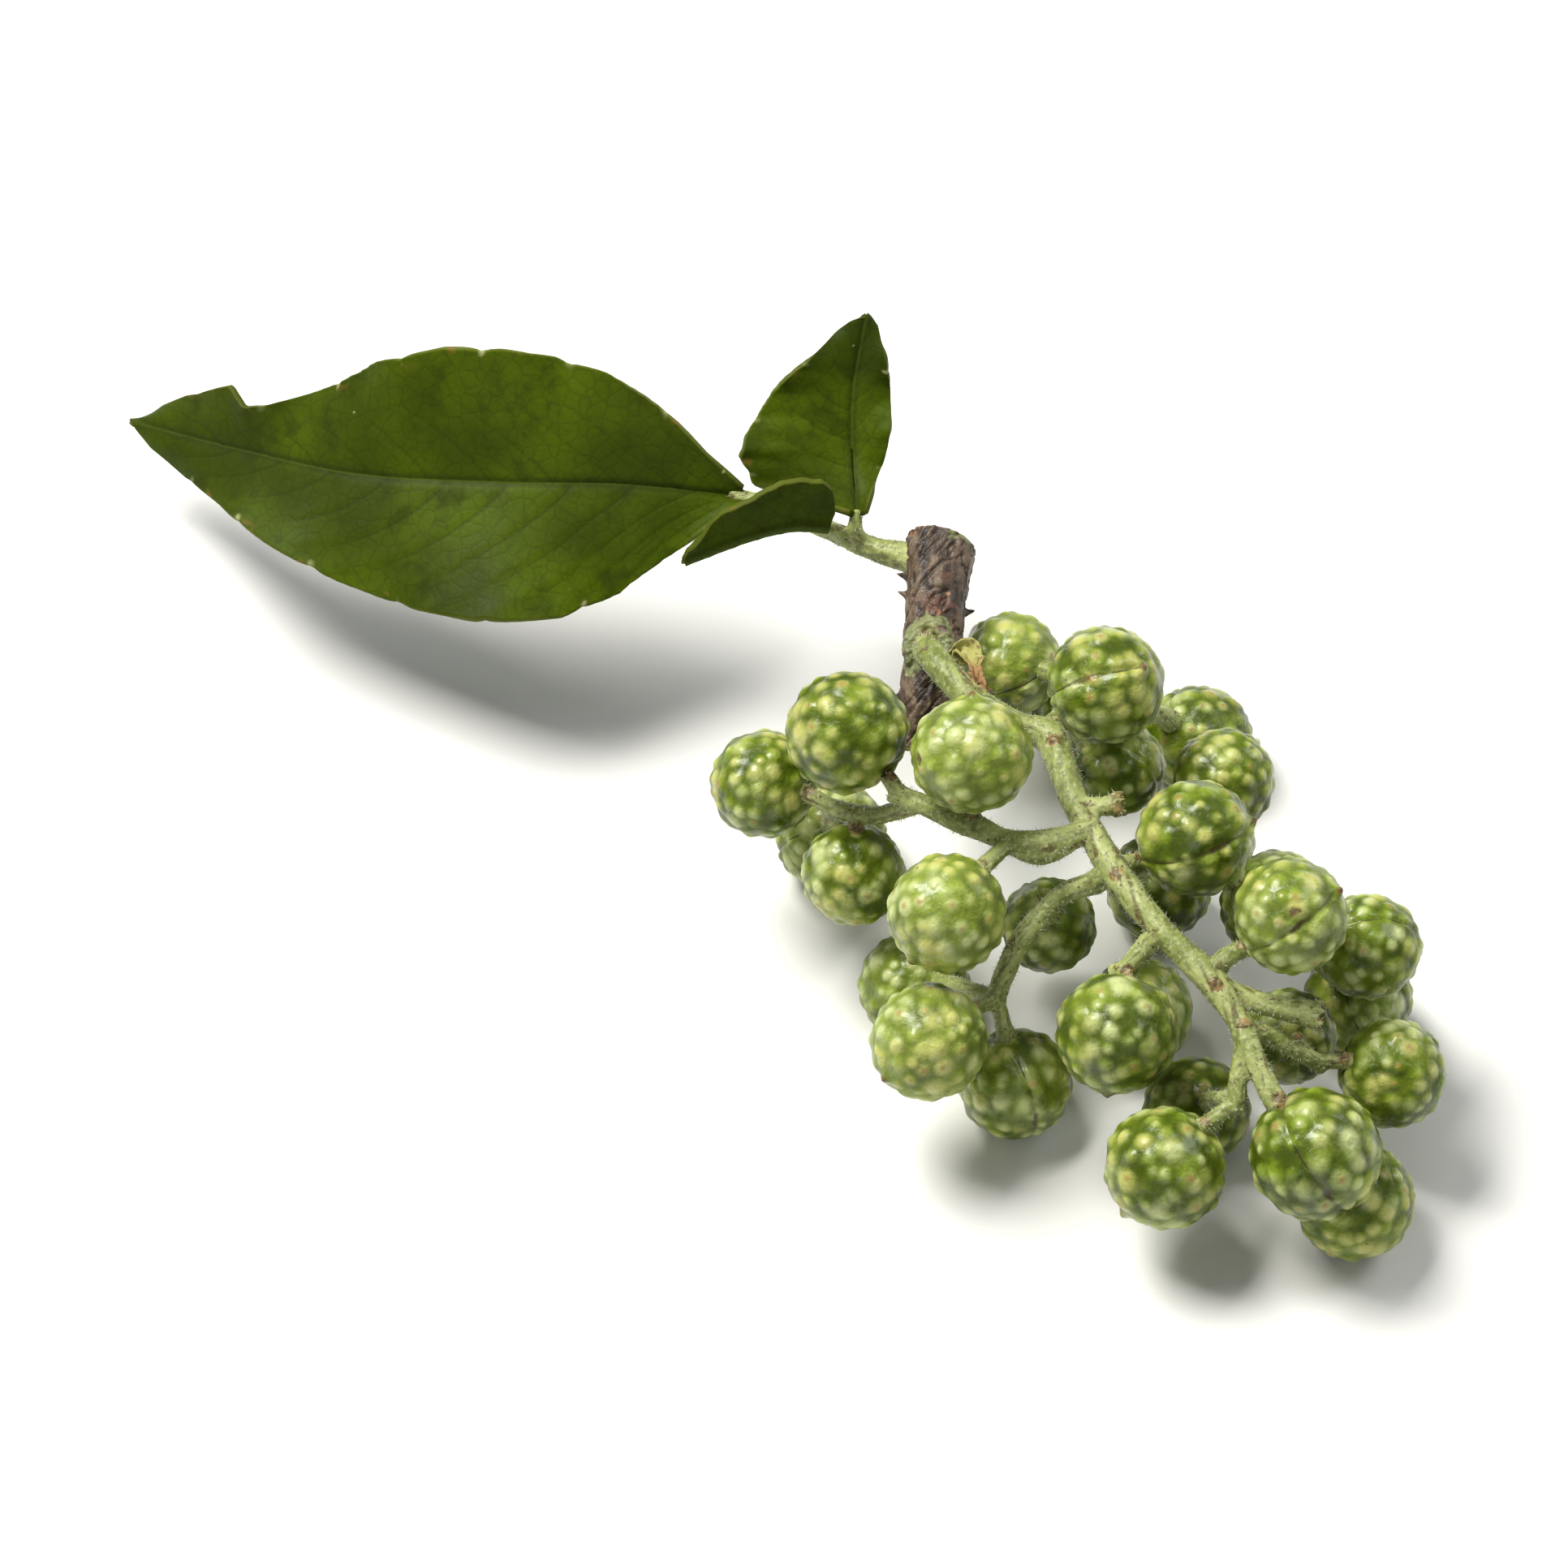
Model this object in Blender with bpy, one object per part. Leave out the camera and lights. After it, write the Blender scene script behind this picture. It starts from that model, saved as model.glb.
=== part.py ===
# A fresh green Sichuan pepper sprig, lying on a flat surface: a short woody twig, a branched
# panicle of warty berries and a compound leaf. Metres, +Z up, at its real size.
import math
import random

import bmesh
import bpy
from mathutils import Matrix, Vector

MM = 0.001

# The sprig is laid out as it shows from 52 degrees above the surface. A point is given in
# millimetres: how far across, how far up in that view, and how high above the surface it lies.
VIEW = math.radians(52.0)
MIDDLE = (0.3, -4.66)

# A berry's shares of its radius: the glands' tops, the net of valleys between them, the beak
# at its far end, and how deep its stalk goes in. ON_SPHERE tells a gland from a valley.
BERRY_CROWN = 1.0
BERRY_VALLEY = 0.925
BERRY_BEAK = 1.1
BERRY_ROOT = 0.8
ON_SPHERE = 0.99

# A berry's stalk: its thickness, its swollen end, how far it starts back along its branch,
# and where and how much it arches, as shares of its reach.
PEDICEL_DIAMETER = 0.8
PEDICEL_END = 1.15
PEDICEL_LEAD = 0.5
PEDICEL_BEND = 0.45
PEDICEL_ARCH = 0.12

STEM_SIDES = 6
PEDICEL_SIDES = 5
AXIS_SIDES = 8
TWIG_SIDES = 12
BARK_RELIEF = 0.05
PRICKLE_DIAMETER = 1.0
PRICKLE_ROOT = 0.5

# The leaflets' thickness, and the waves along their edges in radians from base to tip.
BLADE = 0.64
EDGE_WAVES = 17.0
LEFT_PHASE = 2.0
RIGHT_PHASE = 0.4
SEED = 7

BERRY_GREEN = (0.16, 0.33, 0.05, 1.0)
STEM_GREEN = (0.36, 0.42, 0.13, 1.0)
LEAF_GREEN = (0.03, 0.11, 0.01, 1.0)
BARK_BROWN = (0.06, 0.028, 0.02, 1.0)

# Where the twig runs, from its cut end to its lower end: across, up, height, thickness.
TWIG = [
    (7.8, 11.5, 10.6, 3.3),
    (7.7, 10.0, 10.4, 3.1),
    (7.5, 8.4, 10.0, 2.8),
    (7.4, 7.0, 9.5, 2.9),
    (7.2, 5.2, 8.9, 2.6),
    (6.9, 3.4, 8.0, 2.5),
    (6.5, 1.8, 6.9, 2.1),
]

# Its prickles: where on the twig, to which side, and how long.
PRICKLES = [
    ((6.4, 9.7, 10.4), (-1.0, 0.1, 0.25), 0.75),
    ((6.35, 8.9, 10.2), (-1.0, 0.0, 0.4), 0.65),
    ((8.65, 8.1, 9.5), (1.0, 0.25, -0.1), 0.7),
    ((6.05, 4.3, 8.6), (-1.0, -0.2, 0.1), 0.75),
]

# The stem of the panicle, from its collar on the twig to its last fork.
AXIS = [
    (7.3, 6.15, 11.12, 1.9),
    (8.0, 5.2, 11.35, 1.45),
    (9.1, 4.2, 11.2, 1.35),
    (11.1, 3.0, 10.8, 1.3),
    (12.7, 2.3, 10.6, 1.65),
    (13.6, -0.4, 10.8, 1.3),
    (15.5, -3.7, 10.6, 1.45),
    (17.4, -6.1, 10.2, 1.25),
    (19.6, -8.3, 9.6, 1.5),
    (20.75, -10.0, 9.05, 1.25),
]

# Short stubs on that stem that lost their berries, and the dried bract by the collar.
STUBS = [
    [(13.3, -0.5, 10.8, 1.0), (14.6, -0.6, 11.0, 0.9), (15.6, -0.5, 11.1, 1.1)],
    [(20.0, -8.6, 9.4, 1.1), (22.2, -9.4, 9.0, 1.1), (24.3, -9.8, 8.8, 1.35)],
    [(8.6, 5.0, 11.0, 0.7), (9.3, 4.9, 11.4, 1.3), (9.7, 4.0, 11.8, 0.6)],
]

# Each side spray: its green stems, and its berries as across, up, height and diameter.
SPRAYS = {
    "spray_1": (
        [
            [(13.03, 3.3, 10.27, 1.1), (14.0, 4.6, 9.2, 1.0), (15.0, 4.2, 7.6, 1.0)],
        ],
        [
            (15.0, 4.8, 13.6, 5.5),
            (10.9, 5.8, 6.5, 4.9),
            (15.6, 1.1, 8.0, 4.6),
            (19.4, 2.4, 2.35, 5.2),
            (14.0, 3.6, 2.35, 5.2),
        ],
    ),
    "spray_2": (
        [
            [
                (13.4, -1.95, 11.05, 1.25),
                (12.0, -2.4, 11.4, 1.7),
                (10.3, -2.0, 11.4, 1.05),
                (8.6, -1.2, 11.5, 1.3),
                (6.6, -0.4, 11.8, 1.0),
                (5.4, 0.1, 12.0, 1.0),
            ],
            [(6.8, -0.4, 11.7, 1.0), (4.8, -1.0, 9.9, 0.9), (2.6, -0.6, 8.6, 0.9)],
        ],
        [
            (3.5, 2.7, 13.2, 5.8),
            (9.0, 1.7, 14.5, 5.6),
            (7.9, -5.3, 10.9, 5.5),
            (3.8, -3.6, 6.9, 4.8),
            (-0.2, 0.4, 8.3, 5.0),
            (2.8, -1.9, 2.35, 5.2),
        ],
    ),
    "spray_3": (
        [
            [
                (14.4, -4.0, 9.9, 1.15),
                (12.9, -4.6, 9.2, 1.0),
                (11.3, -6.4, 8.0, 1.1),
                (10.4, -8.2, 6.8, 1.0),
                (10.0, -9.6, 5.6, 1.0),
            ],
        ],
        [
            (7.1, -11.0, 6.6, 5.5),
            (11.0, -12.9, 2.4, 5.3),
            (12.5, -5.9, 4.5, 4.5),
            (6.5, -8.6, 2.35, 5.2),
        ],
    ),
    "spray_4": (
        [
            [(16.75, -6.7, 9.6, 1.1), (15.9, -7.7, 8.9, 1.0), (15.3, -8.0, 8.3, 1.0)],
        ],
        [
            (15.4, -10.6, 7.8, 5.7),
            (16.5, -9.8, 2.35, 5.2),
        ],
    ),
    "spray_5": (
        [
            [(16.14, -3.2, 9.96, 1.1), (17.2, -2.9, 8.7, 1.0), (18.2, -2.4, 7.3, 1.0)],
        ],
        [
            (18.9, -2.0, 11.2, 5.5),
            (20.3, 0.6, 9.0, 4.8),
            (22.6, -5.0, 4.8, 5.2),
            (17.5, -4.2, 2.25, 5.0),
        ],
    ),
    "spray_6": (
        [
            [(20.15, -7.3, 10.18, 1.0), (21.3, -6.8, 10.0, 0.9), (23.6, -7.0, 8.0, 0.9)],
        ],
        [
            (23.0, -5.4, 12.4, 5.4),
            (26.6, -6.8, 8.0, 4.9),
            (26.3, -9.2, 2.35, 5.2),
        ],
    ),
    "spray_7": (
        [
            [(21.95, -10.65, 8.17, 1.0), (23.4, -11.4, 7.2, 0.9), (24.6, -12.1, 6.2, 0.9)],
        ],
        [
            (27.6, -12.4, 5.5, 5.1),
            (23.0, -10.8, 5.0, 4.6),
        ],
    ),
    "spray_8": (
        [
            [
                (20.85, -10.25, 8.95, 1.25),
                (21.35, -11.6, 8.55, 1.15),
                (22.0, -13.0, 7.95, 1.15),
                (22.7, -14.2, 7.2, 1.2),
            ],
            [(21.05, -10.8, 8.75, 1.0), (20.7, -12.4, 7.9, 0.95), (20.6, -14.1, 6.9, 0.95)],
        ],
        [
            (24.1, -15.9, 6.0, 6.2),
            (25.9, -18.0, 2.6, 5.6),
            (17.5, -16.5, 5.0, 5.7),
            (19.0, -14.1, 2.3, 5.0),
        ],
    ),
}

# The leaf's rachis and the short stalk of each leaflet.
RACHIS = [
    [
        (5.85, 10.7, 9.85, 1.4),
        (4.4, 11.1, 9.7, 1.1),
        (2.4, 12.0, 9.6, 1.0),
        (0.4, 12.8, 9.7, 0.95),
        (-0.8, 13.2, 9.7, 0.9),
    ],
    [(4.6, 11.0, 9.7, 0.9), (4.1, 11.5, 10.2, 0.8), (3.9, 11.9, 10.6, 0.8)],
    [(3.7, 11.4, 9.65, 0.9), (3.2, 11.6, 10.3, 0.8), (3.0, 11.8, 10.98, 0.8)],
]

# The leaflets: the midrib, and the half width towards each edge against the share of length.
END_MIDRIB = [
    (-1.2, 13.4, 9.8),
    (-6.5, 13.9, 10.6),
    (-12.0, 14.0, 10.6),
    (-18.5, 14.4, 9.2),
    (-24.0, 15.6, 6.8),
    (-29.2, 17.0, 4.4),
]
END_UPPER = [
    (0.0, 0.4), (0.06, 1.7), (0.13, 3.6), (0.2, 5.0), (0.27, 5.7), (0.35, 6.0), (0.43, 5.95), (0.55, 5.1),
    (0.65, 3.6), (0.74, 2.3), (0.78, 1.9), (0.81, 2.7), (0.9, 1.8), (1.0, 0.3),
]
END_LOWER = [
    (0.0, 0.4), (0.04, 1.5), (0.09, 2.9), (0.17, 4.9), (0.26, 6.1), (0.36, 6.4), (0.46, 5.9), (0.56, 5.0),
    (0.67, 3.9), (0.78, 2.7), (0.87, 1.8), (1.0, 0.3),
]
SIDE_MIDRIB = [
    (4.0, 12.5, 11.2),
    (3.8, 15.0, 12.0),
    (3.8, 18.0, 13.8),
    (4.4, 21.5, 16.2),
]
SIDE_LEFT = [
    (0.0, 0.4), (0.08, 2.4), (0.18, 4.6), (0.3, 5.2), (0.42, 4.9), (0.6, 3.6), (0.8, 1.8), (1.0, 0.3),
]
SIDE_RIGHT = [(0.0, 0.4), (0.15, 0.9), (0.35, 1.6), (0.5, 1.8), (0.7, 1.6), (0.85, 1.1), (1.0, 0.3)]
FOLDED_MIDRIB = [
    (2.7, 12.0, 11.5),
    (1.1, 12.05, 12.0),
    (-0.9, 11.55, 12.1),
    (-3.8, 10.4, 11.4),
]
FOLDED_FRONT = [
    (0.0, 0.5), (0.08, 1.5), (0.16, 1.85), (0.3, 1.8), (0.5, 1.5),
    (0.65, 1.2), (0.85, 0.6), (1.0, 0.3),
]
FOLDED_BACK = [(0.0, 0.4), (0.2, 0.9), (0.4, 1.0), (0.65, 0.9), (0.85, 0.6), (1.0, 0.3)]


def seen(across, up, height):
    """Turn a point of the layout into a place in the model."""
    depth = (up - height * math.cos(VIEW)) / math.sin(VIEW)
    return Vector((across - MIDDLE[0], depth - MIDDLE[1], height)) * MM


def material(name, colour, roughness):
    made = bpy.data.materials.new(name)
    made.use_nodes = True
    shader = made.node_tree.nodes["Principled BSDF"]
    shader.inputs["Base Color"].default_value = colour
    shader.inputs["Roughness"].default_value = roughness
    shader.inputs["Metallic"].default_value = 0.0
    return made


def finish(mesh, name):
    """Turn a bmesh into an object of the scene."""
    bmesh.ops.recalc_face_normals(mesh, faces=mesh.faces)
    data = bpy.data.meshes.new(name)
    mesh.to_mesh(data)
    mesh.free()
    made = bpy.data.objects.new(name, data)
    bpy.context.scene.collection.objects.link(made)
    return made


def curve(points, steps):
    """Sample a smooth curve through points of any number of values, steps to each span."""
    ends = [points[0], *points, points[-1]]
    sampled = []
    for span in range(len(points) - 1):
        a, b, c, d = ends[span : span + 4]
        for step in range(steps):
            t = step / steps
            values = []
            for p, q, r, s in zip(a, b, c, d):
                bend = (2 * p - 5 * q + 4 * r - s) * t**2 + (3 * q - p - 3 * r + s) * t**3
                values.append(0.5 * (2 * q + (r - p) * t + bend))
            sampled.append(values)
    sampled.append(list(points[-1]))
    return sampled


def between(table, share):
    """Read a half width from its table at a share of the length."""
    for (low, low_value), (high, high_value) in zip(table, table[1:]):
        if share <= high:
            return low_value + (high_value - low_value) * (share - low) / (high - low)
    return table[-1][1]


def tube(name, places, radii, sides, ridges=None):
    """A closed round stem through the given places, with flat ends."""
    mesh = bmesh.new()
    rings = []
    across = Vector((0.0, 0.0, 1.0))
    for index, place in enumerate(places):
        before = places[max(index - 1, 0)]
        after = places[min(index + 1, len(places) - 1)]
        along = (after - before).normalized()
        across = (across - along * across.dot(along)).normalized()
        beside = along.cross(across)
        ring = []
        for side in range(sides):
            angle = math.tau * side / sides
            radius = radii[index] * (ridges(index, side) if ridges else 1.0)
            out = across * math.cos(angle) + beside * math.sin(angle)
            ring.append(mesh.verts.new(place + out * radius))
        rings.append(ring)
    for lower, upper in zip(rings, rings[1:]):
        for side in range(sides):
            other = (side + 1) % sides
            mesh.faces.new((lower[side], lower[other], upper[other], upper[side]))
    mesh.faces.new(list(reversed(rings[0])))
    mesh.faces.new(rings[-1])
    return finish(mesh, name)


def stem(name, points, steps=2, sides=STEM_SIDES):
    """A stem through layout points that also give its thickness. Returns its places too."""
    sampled = curve(points, steps)
    places = [seen(*point[:3]) for point in sampled]
    radii = [point[3] / 2 * MM for point in sampled]
    return tube(name, places, radii, sides), places


def berry(name, centre, radius, towards, turn):
    """A round fruit whose raised glands stand on a net of lower valleys, with a small beak."""
    mesh = bmesh.new()
    bmesh.ops.create_icosphere(mesh, subdivisions=2, radius=1.0)
    bmesh.ops.subdivide_edges(mesh, edges=mesh.edges[:], cuts=1, use_grid_fill=True)
    for vert in mesh.verts:
        gland = vert.co.length > ON_SPHERE
        vert.co = vert.co.normalized() * (BERRY_CROWN if gland else BERRY_VALLEY)
    beak = max(mesh.verts, key=lambda vert: vert.co.z)
    beak.co *= BERRY_BEAK
    lie = towards.to_track_quat("Z", "Y").to_matrix().to_4x4()
    grown = lie @ Matrix.Rotation(turn, 4, "Z") @ Matrix.Scale(radius, 4)
    bmesh.ops.transform(mesh, matrix=grown, verts=mesh.verts)
    bmesh.ops.translate(mesh, vec=centre, verts=mesh.verts)
    if min(vert.co.z for vert in mesh.verts) < 0.0:
        rest_flat(mesh)
    return finish(mesh, name)


def rest_flat(mesh):
    """Cut a mesh level with the surface that it lies on."""
    bmesh.ops.bisect_plane(
        mesh,
        geom=mesh.verts[:] + mesh.edges[:] + mesh.faces[:],
        dist=1e-7,
        plane_co=(0.0, 0.0, 0.0),
        plane_no=(0.0, 0.0, -1.0),
        clear_outer=True,
    )
    bmesh.ops.holes_fill(mesh, edges=mesh.edges[:], sides=0)


def pedicel(name, places, centre, radius):
    """The short stalk from the nearest place on a stem into a berry. Returns its direction too."""
    nearest = min(range(len(places)), key=lambda index: (places[index] - centre).length)
    start = places[nearest]
    if nearest > 0:
        back = (places[nearest - 1] - start).normalized()
        start = start + back * PEDICEL_LEAD * MM
    reach = centre - start
    middle = start + reach * PEDICEL_BEND + Vector((0.0, 0.0, PEDICEL_ARCH)) * reach.length
    towards = (centre - middle).normalized()
    end = centre - towards * radius * BERRY_ROOT
    places = [start, start.lerp(middle, 0.6), middle.lerp(end, 0.35), end]
    half = PEDICEL_DIAMETER / 2 * MM
    radii = [half, half, half, PEDICEL_END / 2 * MM]
    return tube(name, places, radii, PEDICEL_SIDES), towards


def unite(name, parts, look):
    """Fuse parts into one body, with one Boolean union on a collection."""
    body = parts[0]
    body.name = name
    body.data.name = name
    group = bpy.data.collections.new(name + "_parts")
    bpy.context.scene.collection.children.link(group)
    for part in parts[1:]:
        group.objects.link(part)
    union = body.modifiers.new("union", "BOOLEAN")
    union.operation = "UNION"
    union.operand_type = "COLLECTION"
    union.solver = "EXACT"
    union.collection = group
    bpy.ops.object.select_all(action="DESELECT")
    bpy.context.view_layer.objects.active = body
    body.select_set(True)
    bpy.ops.object.modifier_apply(modifier=union.name)
    for part in parts[1:]:
        bpy.data.objects.remove(part)
    bpy.data.collections.remove(group)
    body.data.materials.clear()
    body.data.materials.append(look)
    return body


def make_twig():
    """The cut piece of old wood, with uneven bark, and its prickles sunk into it."""
    draw = random.Random(SEED)
    sampled = curve(TWIG, 2)
    bark = [[1.0 + draw.uniform(-BARK_RELIEF, BARK_RELIEF) for side in range(TWIG_SIDES)] for ring in sampled]
    places = [seen(*point[:3]) for point in sampled]
    radii = [point[3] / 2 * MM for point in sampled]
    wood = tube("twig", places, radii, TWIG_SIDES, lambda ring, side: bark[ring][side])
    parts = [wood]
    for foot, side, length in PRICKLES:
        root = seen(*foot)
        way = Vector(side).normalized()
        tip = root + way * length * MM
        places = [root - way * PRICKLE_ROOT * MM, root, root.lerp(tip, 0.5), tip]
        radii = [PRICKLE_DIAMETER / 2 * share * MM for share in (1.0, 0.8, 0.5, 0.16)]
        parts.append(tube("prickle", places, radii, PEDICEL_SIDES))
    return unite("woody_twig", parts, BARK)


def make_axis():
    """The panicle's stem, swollen where its branches leave, with its stubs and dried bract."""
    body, places = stem("axis", AXIS, 3, AXIS_SIDES)
    parts = [body]
    for points in STUBS:
        parts.append(stem("stub", points, 2, 6)[0])
    return unite("panicle_axis", parts, STEM)


def make_spray(name, stems, berries):
    """One side branch with its pedicels and berries."""
    draw = random.Random(name + str(SEED))
    parts = []
    places = []
    for points in stems:
        body, run = stem("branch", points)
        parts.append(body)
        places.extend(run)
    for across, up, height, diameter in berries:
        centre = seen(across, up, height)
        radius = diameter / 2 * MM
        stalk, towards = pedicel("pedicel", places, centre, radius)
        parts.append(stalk)
        parts.append(berry("berry", centre, radius, towards, draw.uniform(0.0, math.tau)))
    return unite(name, parts, BERRY)


def make_rachis():
    """The leaf's own stalk, with the short stalks of its leaflets."""
    parts = [stem("stalk", points)[0] for points in RACHIS]
    return unite("leaf_rachis", parts, STEM)


def make_leaflet(name, midrib, left, right, facing, fold, wave, rows, columns):
    """A thin blade along its midrib, folded up along it, with wavy edges."""
    mesh = bmesh.new()
    line = [seen(*point) for point in curve([list(point) for point in midrib], 12)]
    lengths = [0.0]
    for start, end in zip(line, line[1:]):
        lengths.append(lengths[-1] + (end - start).length)
    tops = []
    bottoms = []
    for row in range(rows + 1):
        share = row / rows
        target = share * lengths[-1]
        step = max(index for index in range(len(lengths)) if lengths[index] <= target + 1e-9)
        step = min(step, len(line) - 2)
        part = (target - lengths[step]) / (lengths[step + 1] - lengths[step])
        place = line[step].lerp(line[step + 1], part)
        along = (line[step + 1] - line[step]).normalized()
        up = Vector(facing).normalized()
        side = up.cross(along).normalized()
        up = along.cross(side).normalized()
        top = []
        bottom = []
        for column in range(columns + 1):
            v = 2 * column / columns - 1
            width = between(left if v > 0 else right, share) * MM
            phase = LEFT_PHASE if v > 0 else RIGHT_PHASE
            rise = fold * abs(v) * width + wave * MM * v * v * math.sin(share * EDGE_WAVES + phase)
            centre = place + side * v * width + up * rise
            lean = fold * min(abs(v) * width / (BLADE * MM), 1.0) * (1.0 if v > 0 else -1.0)
            through = (up - side * lean).normalized() * BLADE / 2 * MM
            top.append(mesh.verts.new(centre + through))
            bottom.append(mesh.verts.new(centre - through))
        tops.append(top)
        bottoms.append(bottom)
    for sheet, turned in ((tops, False), (bottoms, True)):
        for row in range(rows):
            for column in range(columns):
                a, b = sheet[row][column], sheet[row][column + 1]
                c, d = sheet[row + 1][column + 1], sheet[row + 1][column]
                for corners in ((a, b, c), (a, c, d)):
                    mesh.faces.new(tuple(reversed(corners)) if turned else corners)
    rim = [(0, column) for column in range(columns)]
    rim += [(row, columns) for row in range(rows)]
    rim += [(rows, column) for column in range(columns, 0, -1)]
    rim += [(row, 0) for row in range(rows, 0, -1)]
    for (row, column), (next_row, next_column) in zip(rim, rim[1:] + rim[:1]):
        near = (tops[row][column], bottoms[row][column])
        far = (bottoms[next_row][next_column], tops[next_row][next_column])
        mesh.faces.new(near + far)
    made = finish(mesh, name)
    made.data.materials.append(LEAF)
    return made


for old in list(bpy.data.objects):
    bpy.data.objects.remove(old)

BERRY = material("berry_green", BERRY_GREEN, 0.35)
STEM = material("stem_green", STEM_GREEN, 0.6)
LEAF = material("leaf_green", LEAF_GREEN, 0.35)
BARK = material("bark_brown", BARK_BROWN, 0.8)

make_twig()
make_axis()
for spray, (stems, berries) in SPRAYS.items():
    make_spray(spray, stems, berries)
make_rachis()
make_leaflet("leaflet_end", END_MIDRIB, END_LOWER, END_UPPER, (0.0, -0.6, 0.8), 0.15, 0.5, 24, 8)
make_leaflet("leaflet_side", SIDE_MIDRIB, SIDE_LEFT, SIDE_RIGHT, (0.1, -0.62, 0.79), 0.1, 0.3, 12, 6)
make_leaflet("leaflet_folded", FOLDED_MIDRIB, FOLDED_FRONT, FOLDED_BACK, (0.1, 0.8, 0.6), 1.1, 0.1, 10, 6)
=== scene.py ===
import math
import random

import bpy
import numpy as np
from mathutils import Matrix, Vector, noise


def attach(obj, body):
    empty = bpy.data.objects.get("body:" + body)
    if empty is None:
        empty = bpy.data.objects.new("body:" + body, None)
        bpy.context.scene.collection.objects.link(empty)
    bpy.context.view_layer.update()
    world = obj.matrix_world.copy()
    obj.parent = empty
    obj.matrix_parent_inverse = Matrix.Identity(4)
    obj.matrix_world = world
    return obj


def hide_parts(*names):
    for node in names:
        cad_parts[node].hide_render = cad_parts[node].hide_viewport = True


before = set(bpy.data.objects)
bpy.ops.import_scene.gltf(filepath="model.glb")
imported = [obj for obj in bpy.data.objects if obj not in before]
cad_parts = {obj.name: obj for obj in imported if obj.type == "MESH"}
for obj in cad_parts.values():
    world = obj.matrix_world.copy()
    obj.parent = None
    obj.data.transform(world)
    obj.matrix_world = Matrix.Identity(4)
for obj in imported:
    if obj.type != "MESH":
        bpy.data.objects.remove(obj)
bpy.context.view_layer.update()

# The sprig lies on a plain pale table top, and the camera looks down on it at 52 degrees. The
# layout of every piece is drawn in that view, in millimetres: how far across, how far up, and
# how high above the table.
MM = 0.001
VIEW = math.radians(52.0)
MIDDLE = (0.3, -4.66)
CAMERA_REACH = 700.0
CAMERA_LENS = 360.0
LOOKED_AT = (0.7, 0.4, 8.0)
CLIP_START = 0.01
TABLE_WIDTH = 4.0
TABLE_COLOUR = (0.80, 0.80, 0.785, 1.0)
TABLE_SHADE = 0.985
SKY_COLOUR = (1.0, 1.0, 1.0, 1.0)
SKY_STRENGTH = 0.17
NOISE_ROUGHNESS = 0.55
# Each soft light: its place round the sprig, its width, its power and its colour.
LIGHTS = [
    ((-200.0, 120.0, 430.0), 230.0, 3.9, (1.0, 0.98, 0.93)),
    ((330.0, 120.0, 330.0), 220.0, 0.8, (0.98, 0.99, 1.0)),
    ((-60.0, -420.0, 260.0), 200.0, 0.3, (1.0, 1.0, 1.0)),
]


def seen(across, up, height):
    """Turn a point of the layout into a place, in millimetres."""
    depth = (up - height * math.cos(VIEW)) / math.sin(VIEW)
    return Vector((across - MIDDLE[0], depth - MIDDLE[1], height))


class Wire:
    """A number on its way through a finish. Reckoning with it adds Math nodes."""

    def __init__(self, finish, socket):
        self.finish = finish
        self.socket = socket

    def reckon(self, operation, *values):
        made = self.finish.node("ShaderNodeMath", {"operation": operation}, dict(enumerate(values)))
        return made["Value"]

    def __add__(self, other):
        return self.reckon("ADD", self, other)

    __radd__ = __add__

    def __mul__(self, other):
        return self.reckon("MULTIPLY", self, other)

    __rmul__ = __mul__

    def __sub__(self, other):
        return self.reckon("SUBTRACT", self, other)

    def __rsub__(self, other):
        return self.reckon("SUBTRACT", other, self)

    def __abs__(self):
        return self.reckon("ABSOLUTE", self)

    def most(self, other):
        return self.reckon("MAXIMUM", self, other)


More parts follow.
